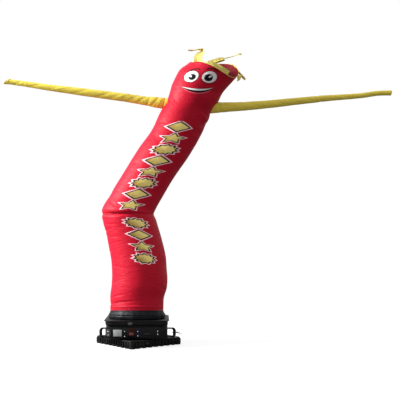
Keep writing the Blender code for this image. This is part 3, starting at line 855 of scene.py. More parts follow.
@dataclass(frozen=True)
class Smile:
    """A printed smile: a strip of teeth over an open mouth, and the lower lip's light."""

    across: float = 0.477
    upward: float = 2.0580
    half_width: float = 0.137
    rise: float = 0.0235
    depth: float = 0.031
    teeth: float = 0.0155
    slope: float = 0.05

    def paint(self, graph: Graph, plane: bpy.types.NodeSocket, ground: Feed) -> bpy.types.NodeSocket:
        """Print the smile over a colour."""
        x, z, _ = graph.split(plane)
        side = graph.maths("DIVIDE", graph.maths("SUBTRACT", x, self.across), self.half_width)
        square = graph.maths("MULTIPLY", side, side)
        z = graph.maths("MULTIPLY_ADD", side, self.slope * self.half_width, z)
        top = graph.maths("MULTIPLY_ADD", square, self.rise, self.upward)
        bottom = graph.maths("MULTIPLY_ADD", square, self.rise + self.depth, self.upward - self.depth)
        below_top = graph.maths("SUBTRACT", top, z)
        above_bottom = graph.maths("SUBTRACT", z, bottom)
        blur = 0.0022
        lip = self.band(graph, graph.maths("MULTIPLY", above_bottom, -1.0), 0.002, 0.009, blur)
        inside = graph.ramp(square, 0.5, 0.75, 1.0, 0.0)
        lip_share = graph.maths("MULTIPLY", lip, graph.maths("MULTIPLY", inside, 0.5))
        ground = graph.mix(lip_share, ground, rgb(0.75, 0.2, 0.26))
        mouth = graph.maths(
            "MULTIPLY", graph.ramp(below_top, -blur, blur), graph.ramp(above_bottom, -blur, blur)
        )
        ground = graph.mix(mouth, ground, rgb(0.008, 0.005, 0.006))
        thick = graph.maths("MULTIPLY_ADD", square, -self.teeth, self.teeth)
        strip = graph.maths("MULTIPLY", graph.ramp(below_top, 0.0005, 0.0035), graph.ramp(
            graph.maths("SUBTRACT", thick, below_top), -0.0015, 0.0015
        ))
        strip = graph.maths("MULTIPLY", strip, mouth)
        return graph.mix(strip, ground, rgb(0.86, 0.83, 0.83))

    @staticmethod
    def band(graph: Graph, value: Feed, low: float, high: float, blur: float) -> bpy.types.NodeSocket:
        """Return 1 where a value lies between two limits."""
        return graph.maths(
            "MULTIPLY",
            graph.ramp(value, low - blur, low + blur),
            graph.ramp(value, high - blur, high + blur, 1.0, 0.0),
        )


@dataclass(frozen=True)
class MarkRun:
    """One run of gold marks: its lowest edge, how many, their pitch and their place round the tube."""

    start: float
    count: int
    pitch: float
    across: float
    first: Mark


@dataclass(frozen=True)
class TubePrint:
    """What is printed on the red cloth: a cheerful face, and a column of gold marks."""

    runs: tuple[MarkRun, ...] = (
        MarkRun(1.0868, 8, 0.0898, 0.008, Mark.STAR),
        MarkRun(0.6614, 4, 0.0942, 0.058, Mark.BURST),
    )
    eyes: tuple[Eye, ...] = (
        Eye(
            Oval(0.4297, 2.1555, 0.0565, 0.0430, 12),
            Oval(0.4360, 2.1510, 0.0300, 0.0235, 8),
            Oval(0.4215, 2.1600, 0.0140, 0.0085, -35),
            Oval(0.4530, 2.1985, 0.0480, 0.0200, 4),
        ),
        Eye(
            Oval(0.5723, 2.1445, 0.0600, 0.0415, 6),
            Oval(0.5660, 2.1405, 0.0350, 0.0265, 4),
            Oval(0.5790, 2.1480, 0.0150, 0.0060, 25),
            Oval(0.5960, 2.1900, 0.0500, 0.0210, -12),
        ),
    )
    smile: Smile = Smile()
    half_width: float = 0.079
    half_height: float = 0.0345
    outline: float = 0.27
    border: float = 0.50
    slope: float = 0.08
    star_points: int = 5
    star_waist: float = 0.5
    burst_points: int = 11
    burst_waist: float = 0.76
    ink: Colour = rgb(0.02, 0.008, 0.006)
    pale: Colour = rgb(0.95, 0.62, 0.66)
    gold_light: Colour = rgb(0.96, 0.78, 0.26)
    gold_dark: Colour = rgb(0.34, 0.23, 0.05)

    def paint(
        self, graph: Graph, cloth: bpy.types.NodeSocket, place: bpy.types.NodeSocket, ground: Feed
    ) -> bpy.types.NodeSocket:
        """Lay the prints over the cloth's colour.

        Args:
            graph: The material's graph.
            cloth: The cloth coordinates.
            place: The place in space.
            ground: The cloth's own colour.

        Returns:
            The printed colour.
        """
        across, _, _ = graph.split(cloth)
        x, _, z = graph.split(place)
        level = graph.maths("MULTIPLY_ADD", across, self.slope, z)
        front = graph.ramp(graph.maths("ABSOLUTE", across), 0.2, 0.21, 1.0, 0.0)
        printed = ground
        for run in self.runs:
            printed = self.marks(graph, run, across, level, printed)
        plane = graph.joined(x, z)
        for eye in self.eyes:
            printed = eye.paint(graph, plane, printed)
        printed = self.smile.paint(graph, plane, printed)
        return graph.mix(front, ground, printed)

    def marks(
        self, graph: Graph, run: MarkRun, across: Feed, level: Feed, ground: Feed
    ) -> bpy.types.NodeSocket:
        """Print one run of marks.

        Args:
            graph: The material's graph.
            run: The run's sizes.
            across: The place round the tube, in metres.
            level: The height, in metres.
            ground: The colour under the marks.

        Returns:
            The colour with the marks on it.
        """
        step = graph.maths("DIVIDE", graph.maths("SUBTRACT", level, run.start), run.pitch)
        number = graph.maths("FLOOR", step)
        inside = graph.maths(
            "MULTIPLY",
            graph.maths("GREATER_THAN", step, 0.0),
            graph.maths("LESS_THAN", step, float(run.count)),
        )
        right = graph.maths("DIVIDE", graph.maths("SUBTRACT", across, run.across), self.half_width)
        upward = graph.maths("SUBTRACT", graph.maths("FRACT", step), 0.5)
        upward = graph.maths("MULTIPLY", upward, run.pitch / self.half_height)
        kind = graph.maths("MODULO", graph.maths("ADD", number, float(run.first.value)), float(len(Mark)))
        shapes = {
            Mark.STAR: self.spikes(graph, right, upward, self.star_points, self.star_waist),
            Mark.DIAMOND: graph.maths("ADD", graph.maths("ABSOLUTE", right), graph.maths("ABSOLUTE", upward)),
            Mark.BURST: self.spikes(graph, right, upward, self.burst_points, self.burst_waist),
        }
        reach: Feed = 0.0
        for mark, shape in shapes.items():
            chosen = graph.maths("COMPARE", kind, float(mark.value), 0.5)
            reach = graph.maths("MULTIPLY_ADD", chosen, shape, reach)
        shine = graph.ramp(graph.maths("MULTIPLY_ADD", upward, 0.35, right), -0.9, 0.5)
        gold = graph.mix(shine, self.gold_dark, self.gold_light)
        marks = graph.mix(graph.ramp(reach, 0.95, 1.05), gold, self.ink)
        marks = graph.mix(graph.ramp(reach, 0.95 + self.outline, 1.05 + self.outline), marks, self.pale)
        cover = graph.ramp(reach, 0.95 + self.border, 1.05 + self.border, 1.0, 0.0)
        return graph.mix(graph.maths("MULTIPLY", cover, inside), ground, marks)

    @staticmethod
    def spikes(graph: Graph, right: Feed, upward: Feed, points: int, waist: float) -> bpy.types.NodeSocket:
        """Return how far out a place is in a star, 1 at its edge.

        Args:
            graph: The material's graph.
            right: The place across, in half widths.
            upward: The place upward, in half heights.
            points: How many points the star has.
            waist: The radius between its points, as a share.

        Returns:
            The reach's socket.
        """
        square = graph.maths("MULTIPLY_ADD", right, right, graph.maths("MULTIPLY", upward, upward))
        angle = graph.maths("DIVIDE", graph.maths("ARCTAN2", right, upward), math.pi)
        saw = graph.maths("PINGPONG", graph.maths("MULTIPLY", angle, float(points)), 1.0)
        edge = graph.maths("MULTIPLY_ADD", saw, 1 / waist - 1, 1.0)
        return graph.maths("MULTIPLY", graph.maths("SQRT", square), edge)


BODY_RINGS = (
    Ring(0.2742, -0.0107, 0.000, 0.2180, 0, -5),
    Ring(0.3585, -0.0107, 0.006, 0.2200, 0, -5),
    Ring(0.4733, 0.0080, 0.014, 0.2300, 0, -5),
    Ring(0.5474, 0.0125, 0.019, 0.2290, 0, -4),
    Ring(0.6713, 0.0058, 0.027, 0.2270, -3, -3),
    Ring(0.8207, -0.0232, 0.036, 0.2216, -9, -1),
    Ring(0.9708, -0.0607, 0.043, 0.2160, -9, 1),
    Ring(1.0700, -0.0897, 0.048, 0.2169, 0, 2),
    Ring(1.1697, -0.0442, 0.050, 0.1960, 20, 2),
    Ring(1.3197, 0.0433, 0.053, 0.1904, 31, 1),
    Ring(1.5189, 0.1679, 0.050, 0.1903, 32, 1),
    Ring(1.6677, 0.2716, 0.045, 0.1875, 30, 2),
    Ring(1.8160, 0.3500, 0.038, 0.1940, 24, 5),
    Ring(1.9626, 0.4155, 0.025, 0.1850, 24, 9),
    Ring(2.0591, 0.4682, 0.012, 0.2040, 25, 12),
    Ring(2.1541, 0.5120, -0.005, 0.2000, 24, 14),
    Ring(2.2658, 0.5940, -0.035, 0.2060, 11, 16),
    Ring(2.3400, 0.6200, -0.055, 0.2060, 8, 17),
)
BODY_CREASES = (
    Crease(1.070, 232, 0.013, 62, -0.016),
    Crease(1.105, 245, 0.030, 55, 0.007),
    Crease(1.035, 205, 0.020, 30, -0.006),
    Crease(0.330, 215, 0.022, 40, -0.004),
    Crease(0.620, 340, 0.060, 30, -0.005),
    Crease(1.935, 345, 0.038, 34, 0.015),
    Crease(1.800, 330, 0.030, 30, -0.005),
    Crease(1.915, 186, 0.040, 26, -0.010),
    Crease(2.045, 345, 0.032, 30, -0.009),
    Crease(1.450, 350, 0.100, 22, -0.005),
    Crease(1.0695, 226, 0.0045, 48, -0.008),
    Crease(0.335, 225, 0.007, 45, -0.005, 0.0003),
    Crease(0.302, 250, 0.006, 80, 0.003),
    Crease(0.387, 220, 0.006, 25, -0.004, 0.0006),
    Crease(0.450, 330, 0.012, 20, -0.003, -0.0008),
    Crease(0.500, 205, 0.030, 22, -0.004, 0.0010),
    Crease(0.640, 215, 0.014, 20, -0.003, -0.0008),
    Crease(0.790, 200, 0.009, 20, -0.004, 0.0005),
    Crease(0.852, 214, 0.005, 18, -0.004, 0.0003),
    Crease(0.910, 205, 0.007, 22, -0.005, -0.0004),
    Crease(0.965, 200, 0.008, 25, -0.006, 0.0004),
    Crease(1.008, 215, 0.006, 26, -0.004, -0.0003),
    Crease(1.135, 212, 0.008, 28, -0.005, -0.0006),
    Crease(1.185, 202, 0.010, 22, -0.004, 0.0006),
    Crease(1.300, 300, 0.020, 30, -0.003, 0.0010),
    Crease(1.400, 215, 0.016, 22, -0.003, 0.0009),
    Crease(1.620, 240, 0.018, 25, -0.003, -0.0010),
    Crease(1.750, 215, 0.014, 25, -0.004, 0.0008),
    Crease(1.870, 335, 0.012, 20, -0.006, 0.0010),
    Crease(1.930, 204, 0.010, 20, -0.007, 0.0005),
    Crease(1.950, 330, 0.010, 22, -0.005, -0.0006),
    Crease(1.965, 222, 0.009, 18, -0.004, -0.0008),
    Crease(2.030, 208, 0.012, 22, -0.004, 0.0006),
    Crease(2.120, 305, 0.018, 26, -0.004, 0.0008),
    Crease(0.600, 90, 0.030, 40, -0.005),
    Crease(0.900, 120, 0.016, 30, -0.004, 0.0006),
    Crease(1.100, 90, 0.020, 60, 0.005),
    Crease(1.500, 110, 0.026, 30, -0.005, 0.0010),
    Crease(1.900, 80, 0.024, 35, -0.006, -0.0008),
)


@dataclass
class BodyCloth:
    """The red tube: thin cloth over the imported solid, with its folds and its open crown."""

    top: float = 2.2658
    crown_start: float = 2.08
    shoulder_angle: float = 185
    shoulder_wide: float = 55
    shoulder_curl: float = 0.15
    flare: float = 0.03
    flare_wide: float = 45
    wall: float = 0.0016
    segments: int = 128
    spans: tuple[int, int] = (5, 75)
    seam: float = 0.0012
    hem: float = 0.012
    edge: tuple[tuple[float, float], ...] = (
        (0, -0.016),
        (20, 0.020),
        (45, 0.042),
        (90, 0.026),
        (135, 0.014),
        (180, 0.012),
        (210, 0.018),
        (240, 0.032),
        (270, 0.018),
        (300, -0.014),
        (330, -0.030),
        (360, -0.016),
    )

    def __post_init__(self) -> None:
        """Make the tube's rule."""
        self.rule = CrownedTube(self)

    def levels(self) -> np.ndarray:
        """Return the rings' heights, close together at the knee and the crown."""
        return spaced_levels(
            BODY_RINGS[0].height,
            (
                (0.42, 34), (1.02, 108), (1.052, 10), (1.088, 18),
                (1.13, 12), (1.25, 24), (2.06, 125), (self.top, 44),
            ),
        )

    def build(self, cloth: bpy.types.Material) -> bpy.types.Object:
        """Make the tube and give it its wall.

        Args:
            cloth: The printed red nylon.

        Returns:
            The finished piece.
        """
        mesh = TubeMesh("body_cloth", self.segments, self.spans, self.levels())
        piece = mesh.build(self.rule.place, self.rule.length, self.rule.curves["radius"])
        outer = len(piece.data.vertices)
        Workbench.apply(piece, "SOLIDIFY", thickness=self.wall, offset=-1.0)
        # Mark the inner face of the wall, which the red cloth paints darker as shade.
        inside = piece.data.attributes.new("inside", "FLOAT", "POINT")
        inside.data.foreach_set("value", (np.arange(len(piece.data.vertices)) >= outer).astype(float))
        piece.data.materials.append(cloth)
        Workbench.soften(piece, 60)
        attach(piece, BODY)
        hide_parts("body_tube")
        return piece


class CrownedTube(RingTube):
    """The red tube's rule, with its uneven crown."""

    def __init__(self, cloth: BodyCloth) -> None:
        """Keep the crown's sizes."""
        super().__init__(BODY_RINGS, BODY_CREASES)
        self.cloth = cloth
        self.rim = SmoothCurve(*zip(*cloth.edge))

    def share(self, height: np.ndarray) -> np.ndarray:
        """Return how far up the crown a ring is, from 0 to 1."""
        start = self.cloth.crown_start
        return np.clip((height - start) / (self.cloth.top - start), 0, None)

    def level(self, height: np.ndarray, angle: np.ndarray) -> np.ndarray:
        """Return the ring of a place, raised or lowered towards the uneven edge."""
        return height + self.share(height) * self.rim(angle % 360)

    def gather(self, height: np.ndarray, angle: np.ndarray) -> np.ndarray:
        """Return the curl of the left shoulder and the flare of the right side."""
        size, share = self.cloth, self.share(height)
        radius = self.curves["radius"](self.level(height, angle))
        curl = size.shoulder_curl * share**5 * hump(turn_from(angle, size.shoulder_angle), size.shoulder_wide)
        flare = size.flare * share**2 * hump(turn_from(angle, 0), size.flare_wide)
        seam = size.seam * hump(turn_from(angle, 90), 2.0)
        hem = size.seam * (np.abs(height - size.top) < size.hem)
        return flare - curl * radius + seam + hem


@dataclass
class CollarCloth:
    """The black collar, gathered over the outlet."""

    segments: int = 168
    spans: tuple[int, int] = (4, 8)
    wall: float = 0.0016
    gathers: int = 13
    depth: float = 0.003
    rings: tuple[Ring, ...] = (
        Ring(0.2143, -0.0107, -0.002, 0.2270, 0, 0),
        Ring(0.2215, -0.0107, -0.001, 0.2330, 0, -1),
        Ring(0.2340, -0.0107, 0.000, 0.2350, 0, -2),
        Ring(0.2480, -0.0107, 0.000, 0.2290, 0, -4),
        Ring(0.2610, -0.0107, 0.000, 0.2215, 0, -5),
        Ring(0.2736, -0.0107, 0.000, 0.2180, 0, -5),
    )
    creases: tuple[Crease, ...] = (
        Crease(0.2385, 240, 0.003, 70, -0.003, 0.00002),
        Crease(0.2440, 255, 0.004, 60, 0.002, -0.00003),
        Crease(0.2300, 300, 0.003, 40, -0.002, 0.00004),
    )

    def build(self, cloth: bpy.types.Material) -> bpy.types.Object:
        """Make the collar.

        Args:
            cloth: The black nylon.

        Returns:
            The finished piece.
        """
        rule = GatheredTube(self)
        levels = np.linspace(self.rings[0].height, self.rings[-1].height, self.spans[0] * self.spans[1] + 1)
        mesh = TubeMesh("collar_cloth", self.segments, self.spans, levels)
        piece = mesh.build(rule.place, rule.length, rule.curves["radius"])
        Workbench.apply(piece, "SOLIDIFY", thickness=self.wall, offset=-1.0)
        piece.data.materials.append(cloth)
        Workbench.soften(piece, 60)
        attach(piece, BODY)
        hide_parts("collar")
        return piece


class GatheredTube(RingTube):
    """The collar's rule, with the gathers that fade towards the red tube."""

    def __init__(self, cloth: CollarCloth) -> None:
        """Keep the gathers' sizes."""
        super().__init__(cloth.rings, cloth.creases)
        self.cloth = cloth

    def gather(self, height: np.ndarray, angle: np.ndarray) -> np.ndarray:
        """Return the gathers' waves."""
        share = (self.high - height) / (self.high - self.low)
        turn = np.radians(angle)
        wave = np.sin(turn * self.cloth.gathers + 2 * np.sin(turn))
        fine = np.sin(turn * 37 + 3 * np.sin(2 * turn)) * 0.35
        return self.cloth.depth * share * (wave + fine * (1 - share) * 2)


@dataclass(frozen=True)
class Stop:
    """A place along an arm: across, back, height, and the radius there."""

    across: float
    back: float
    height: float
    radius: float


LEFT_TWISTS: tuple[tuple[float, float, float, float], ...] = (
    (0.120, 0.030, 0.0055, -0.0030),
    (0.146, 0.075, 0.0050, 0.0015),
    (0.170, 0.110, 0.0075, -0.0034),
    (0.205, 0.050, 0.0060, -0.0018),
    (0.245, 0.140, 0.0110, -0.0028),
    (0.292, 0.180, 0.0140, -0.0024),
    (0.360, 0.200, 0.0150, 0.0022),
    (0.450, 0.260, 0.0160, -0.0028),
    (0.580, 0.300, 0.0200, -0.0022),
    (0.700, 0.300, 0.0180, 0.0018),
    (0.830, 0.260, 0.0160, -0.0020),
    (0.930, 0.150, 0.0100, -0.0018),
)
RIGHT_TWISTS: tuple[tuple[float, float, float, float], ...] = (
    (0.115, -0.050, 0.0070, -0.0040),
    (0.150, -0.080, 0.0090, -0.0030),
    (0.210, -0.160, 0.0120, 0.0022),
    (0.300, -0.240, 0.0160, -0.0026),
    (0.420, -0.300, 0.0180, -0.0020),
    (0.530, -0.300, 0.0160, 0.0018),
    (0.627, -0.030, 0.0060, -0.0060),
    (0.655, -0.060, 0.0090, 0.0020),
    (0.760, -0.260, 0.0180, -0.0020),
    (0.880, -0.200, 0.0140, -0.0018),
)
LEFT_STOPS = (
    Stop(0.3890, 0.030, 1.9658, 0.0460),
    Stop(0.2241, 0.030, 1.9840, 0.0453),
    Stop(0.1335, 0.024, 1.9947, 0.0430),
    Stop(0.0676, 0.020, 2.0029, 0.0370),
    Stop(-0.1302, 0.010, 2.0317, 0.0335),
    Stop(-0.3939, 0.000, 2.0647, 0.0320),
    Stop(-0.7235, -0.012, 2.1059, 0.0255),
    Stop(-1.0400, -0.024, 2.1495, 0.0215),
    Stop(-1.0800, -0.026, 2.1540, 0.0225),
)
RIGHT_STOPS = (
    Stop(0.4713, 0.010, 1.9330, 0.0460),
    Stop(0.6032, 0.012, 1.9452, 0.0453),
    Stop(0.7762, 0.018, 1.9535, 0.0375),
    Stop(1.0399, 0.026, 1.9741, 0.0330),
    Stop(1.3036, 0.034, 2.0029, 0.0290),
    Stop(1.4940, 0.040, 2.0240, 0.0262),
    Stop(1.5672, 0.044, 2.0317, 0.0247),
    Stop(1.8309, 0.050, 2.0523, 0.0212),
    Stop(2.0287, 0.056, 2.0770, 0.0206),
    Stop(2.1028, 0.058, 2.0780, 0.0200),
)


@dataclass(frozen=True)
class Twist:
    """A diagonal fold on an arm: where it crosses the front, its slant, width and depth.

    Middle and width are shares of the arm's length. Slant is the share that it moves in a full turn.
    """

    middle: float
    slant: float
    width: float
    depth: float

    def relief(self, level: np.ndarray, turn: np.ndarray) -> np.ndarray:
        """Return how far the fold moves the wall, by the turn from the arm's front."""
        return self.depth * hump(level - self.middle - self.slant * turn / 360, self.width) * hump(turn, 95)


@dataclass
class Sleeve:
    """A tapered yellow arm with an open cuff, fitted to the tube's side."""

    name: str
    node: str
    stops: tuple[Stop, ...]
    cuff_slant: float
    front: float
    twists: tuple[tuple[float, float, float, float], ...]
    segments: int = 56
    spans: tuple[int, int] = (6, 70)
    wall: float = 0.0014
    hem: float = 0.014
    hem_rise: float = 0.0009

    def __post_init__(self) -> None:
        """Make the curves that the arm follows."""
        line = np.array([(stop.across, stop.back, stop.height) for stop in self.stops])
        run = np.concatenate([[0], np.cumsum(np.linalg.norm(np.diff(line, axis=0), axis=1))])
        self.long = float(run[-1])
        columns = np.column_stack([line, [stop.radius for stop in self.stops]])
        self.curves = [SmoothCurve(run / run[-1], column) for column in columns.T]

    def middle(self, level: np.ndarray) -> np.ndarray:
        """Return places on the arm's middle line."""
        return np.stack([curve(level) for curve in self.curves[:3]], 1)

    def radius(self, level: np.ndarray) -> np.ndarray:
        """Return the arm's radius."""
        return self.curves[3](level)

    def place(self, level: np.ndarray, angle: np.ndarray) -> np.ndarray:
        """Return points on the arm's wall, for levels from 0 at the root to 1 at the cuff."""
        along = self.middle(np.minimum(level + 0.01, 1)) - self.middle(np.maximum(level - 0.01, 0))
        along /= np.linalg.norm(along, axis=1)[:, None]
        side = np.cross(along, (0, 0, 1))
        side /= np.linalg.norm(side, axis=1)[:, None]
        upward = np.cross(side, along)
        turn = np.radians(angle)
        reach = self.radius(level) + self.hem_rise * (level > 1 - self.hem)
        reach = reach + self.hem_rise * hump(turn_from(angle, 270), 6)
        for sizes in self.twists:
            reach = reach + Twist(*sizes).relief(level, turn_from(angle, self.front))
        cut = np.clip((level - 0.96) / 0.04, 0, 1) * self.cuff_slant * reach * np.sin(turn)
        ring = side * np.cos(turn)[:, None] + upward * np.sin(turn)[:, None]
        return self.middle(level) + ring * reach[:, None] + along * cut[:, None]

    def build(self, cloth: bpy.types.Material, cutter: bpy.types.Object) -> bpy.types.Object:
        """Make the arm.

        Args:
            cloth: The yellow nylon.
            cutter: A closed copy of the tube's shoulders.

        Returns:
            The finished piece.
        """
        levels = np.linspace(0, 1, self.spans[0] * self.spans[1] + 1)
        mesh = TubeMesh(self.name, self.segments, self.spans, levels)
        piece = mesh.build(self.place, lambda level: level * self.long, self.radius)
        Workbench.apply(piece, "SOLIDIFY", thickness=self.wall, offset=-1.0)
        Workbench.apply(piece, "BOOLEAN", operation="DIFFERENCE", object=cutter, solver="EXACT")
        piece.data.materials.clear()
        piece.data.materials.append(cloth)
        Workbench.soften(piece, 60)
        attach(piece, BODY)
        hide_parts(self.node)
        return piece


@dataclass
class Shoulders:
    """A closed copy of the part of the tube that the arms are fitted to."""

    low: float = 1.65
    high: float = 2.2
    out: float = 0.0004
    segments: int = 144

    def build(self, tube: BodyCloth) -> bpy.types.Object:
        """Make the cutter."""
        levels = np.array([level for level in tube.levels() if self.low < level < self.high])
        spans = (1, len(levels) - 1)
        mesh = TubeMesh("shoulder_cutter", self.segments, spans, levels)
        piece = mesh.build(
            lambda height, angle: tube.rule.place(height, angle, self.out),
            tube.rule.length,
            tube.rule.curves["radius"],
        )
        Workbench.select(piece, "EDGE", lambda edge, verts: False)
        bpy.ops.mesh.select_non_manifold(extend=False, use_boundary=True)
        bpy.ops.mesh.edge_face_add()
        Workbench.done()
        Workbench.face_out(piece)
        return piece


@dataclass(frozen=True)
class StripStop:
    """A place along a strip: across, back and height, its width, and how far it is turned edge-on."""

    across: float
    back: float
    height: float
    width: float
    turned: float


@dataclass(frozen=True)
class CrownStrip:
    """One yellow strip that leaves the crown."""

    name: str
    stops: tuple[StripStop, ...]
    cup: float = 0.12
    ripple: float = 0.0015
    columns: int = 6
    rows: int = 48
    wall: float = 0.0012

    def build(self, cloth: bpy.types.Material) -> bpy.types.Object:
        """Make the strip as a thin bent sheet.

        Args:
            cloth: The yellow nylon.

        Returns:
            The finished piece.
        """
        Workbench.clear()
        bpy.ops.mesh.primitive_grid_add(x_subdivisions=self.columns, y_subdivisions=self.rows, size=1)
        piece = Workbench.named(self.name)
        mesh = piece.data
        flat = np.empty(len(mesh.vertices) * 3)
        mesh.vertices.foreach_get("co", flat)
        flat = flat.reshape(-1, 3)
        side, share = flat[:, 0], flat[:, 1] + 0.5
        mesh.vertices.foreach_set("co", self.place(side, share).ravel())
        corner = np.empty(len(mesh.loops), int)
        mesh.loops.foreach_get("vertex_index", corner)
        cut = np.stack([side[corner] * self.widest(), share[corner] * self.length()], 1)
        mesh.uv_layers[0].uv.foreach_set("vector", cut.ravel())
        mesh.update()
        Workbench.apply(piece, "SOLIDIFY", thickness=self.wall, offset=0.0)
        piece.data.materials.append(cloth)
        Workbench.soften(piece, 60)
        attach(piece, BODY)
        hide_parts("hair_fringe")
        self.length()
        return piece

    def columns_of(self) -> np.ndarray:
        """Return the stops as rows of numbers."""
        return np.array([(s.across, s.back, s.height, s.width, math.radians(s.turned)) for s in self.stops])

    def run(self) -> np.ndarray:
        """Return the length along the strip at each stop."""
        line = self.columns_of()[:, :3]
        return np.concatenate([[0], np.cumsum(np.linalg.norm(np.diff(line, axis=0), axis=1))])

    def length(self) -> float:
        """Return the strip's length."""
        return float(self.run()[-1])

    def widest(self) -> float:
        """Return the strip's greatest width."""
        return max(stop.width for stop in self.stops)

    def place(self, side: np.ndarray, share: np.ndarray) -> np.ndarray:
        """Return points on the strip for places across (-0.5 to 0.5) and along (0 to 1)."""
        run = self.run() / self.length()
        curves = [SmoothCurve(run, column) for column in self.columns_of().T]
        step = 0.01
        line = [
            np.stack([curve(np.clip(share + move, 0, 1)) for curve in curves[:3]], 1)
            for move in (-step, 0, step)
        ]
        along = line[2] - line[0]
        along /= np.linalg.norm(along, axis=1)[:, None]
        wide = np.stack([-along[:, 2], np.zeros_like(share), along[:, 0]], 1)
        wide /= np.linalg.norm(wide, axis=1)[:, None]
        deep = np.cross(along, wide)
        width, turned = curves[3](share), curves[4](share)
        flat = wide * np.cos(turned)[:, None] + deep * np.sin(turned)[:, None]
        out = np.cross(along, flat)
        bowl = self.cup * width * (4 * side**2 - 0.5) + self.ripple * np.sin(9 * share + 5 * side)
        return line[1] + flat * (side * width)[:, None] + out * bowl[:, None]


@dataclass(frozen=True)
class RimBand:
    """The narrow yellow band round part of the crown's rim, which joins the strips."""

    start: float = 205.0
    end: float = 416.0
    wide_until: float = 275.0
    tall: float = 0.010
    low: float = 0.0045
    gap: float = 0.0012
    columns: int = 90
    rows: int = 3
    wall: float = 0.0012

    def build(self, tube: BodyCloth, cloth: bpy.types.Material) -> bpy.types.Object:
        """Make the band just above the tube's edge.

        Args:
            tube: The tube that the band follows.
            cloth: The yellow nylon.

        Returns:
            The finished piece.
        """
        Workbench.clear()
        bpy.ops.mesh.primitive_grid_add(x_subdivisions=self.columns, y_subdivisions=self.rows, size=1)
        piece = Workbench.named("rim_band")
        mesh = piece.data
        flat = np.empty(len(mesh.vertices) * 3)
        mesh.vertices.foreach_get("co", flat)
        flat = flat.reshape(-1, 3)
        turn = self.start + (flat[:, 0] + 0.5) * (self.end - self.start)
        rim = tube.rule.place(np.full_like(turn, tube.top), turn % 360)
        below = tube.rule.place(np.full_like(turn, tube.top - 0.01), turn % 360)
        along = rim - below
        along /= np.linalg.norm(along, axis=1)[:, None]
        ends = np.clip(np.minimum(turn - self.start, self.end - turn) / 8, 0.15, 1)
        height = np.where(turn < self.wide_until, self.tall, self.low) * ends
        points = rim + along * (self.gap + (flat[:, 1] + 0.5) * height)[:, None]
        mesh.vertices.foreach_set("co", points.ravel())
        mesh.update()
        Workbench.apply(piece, "SOLIDIFY", thickness=self.wall, offset=0.0)
        piece.data.materials.append(cloth)
        Workbench.soften(piece, 60)
        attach(piece, BODY)
        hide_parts("hair_fringe")
        return piece


CROWN_STRIPS = (
    CrownStrip(
        "upright_strip",
        (
            StripStop(0.4847, -0.186, 2.2745, 0.068, -20),
            StripStop(0.4855, -0.190, 2.3053, 0.072, -26),
            StripStop(0.5022, -0.190, 2.3292, 0.062, -32),
            StripStop(0.5149, -0.190, 2.3508, 0.052, -46),
            StripStop(0.5117, -0.186, 2.3699, 0.044, -72),
            StripStop(0.4886, -0.188, 2.3722, 0.040, -100),
            StripStop(0.4584, -0.190, 2.3650, 0.034, -100),
            StripStop(0.4265, -0.194, 2.3605, 0.024, -80),
            StripStop(0.4026, -0.196, 2.3628, 0.012, -60),
        ),
    ),
    CrownStrip(
        "long_strip",
        (
            StripStop(0.5650, -0.2285, 2.2490, 0.034, -20),
            StripStop(0.6032, -0.222, 2.2665, 0.050, -44),
            StripStop(0.6507, -0.212, 2.2839, 0.052, -48),
            StripStop(0.6863, -0.204, 2.2934, 0.038, -52),
            StripStop(0.7061, -0.198, 2.2982, 0.022, -75),
            StripStop(0.7457, -0.186, 2.3110, 0.016, -70),
            StripStop(0.7853, -0.176, 2.3260, 0.016, -60),
            StripStop(0.8130, -0.170, 2.3370, 0.026, -45),
            StripStop(0.8330, -0.166, 2.3380, 0.016, -20),
        ),
    ),
    CrownStrip(
        "folded_strip",
        (
            StripStop(0.5790, -0.2295, 2.2405, 0.024, -10),
            StripStop(0.6150, -0.226, 2.2560, 0.028, -15),
            StripStop(0.6560, -0.216, 2.2720, 0.028, -20),
            StripStop(0.6940, -0.206, 2.2830, 0.018, -30),
        ),
    ),
    CrownStrip(
        "rim_strip",
        (
            StripStop(0.5640, -0.2360, 2.2560, 0.026, 0),
            StripStop(0.6025, -0.2390, 2.2400, 0.033, 8),
            StripStop(0.6499, -0.2360, 2.2165, 0.034, 14),
            StripStop(0.6894, -0.2260, 2.1960, 0.034, 16),
            StripStop(0.7258, -0.2130, 2.1765, 0.034, 18),
        ),
        cup=0.05,
    ),
    CrownStrip(
        "back_strip",
        (
            StripStop(0.7758, 0.094, 2.3270, 0.026, 90),
            StripStop(0.8103, 0.050, 2.2890, 0.030, 85),
            StripStop(0.8361, 0.020, 2.2360, 0.030, 75),
            StripStop(0.8600, 0.000, 2.1983, 0.028, 60),
            StripStop(0.8812, -0.010, 2.1726, 0.016, 45),
        ),
    ),
    CrownStrip(
        "short_strip",
        (
            StripStop(0.8215, -0.033, 2.2030, 0.020, 30),
            StripStop(0.8280, -0.045, 2.1880, 0.035, 20),
            StripStop(0.8250, -0.048, 2.1675, 0.030, 35),
            StripStop(0.8110, -0.050, 2.1500, 0.010, 50),
        ),
    ),
)


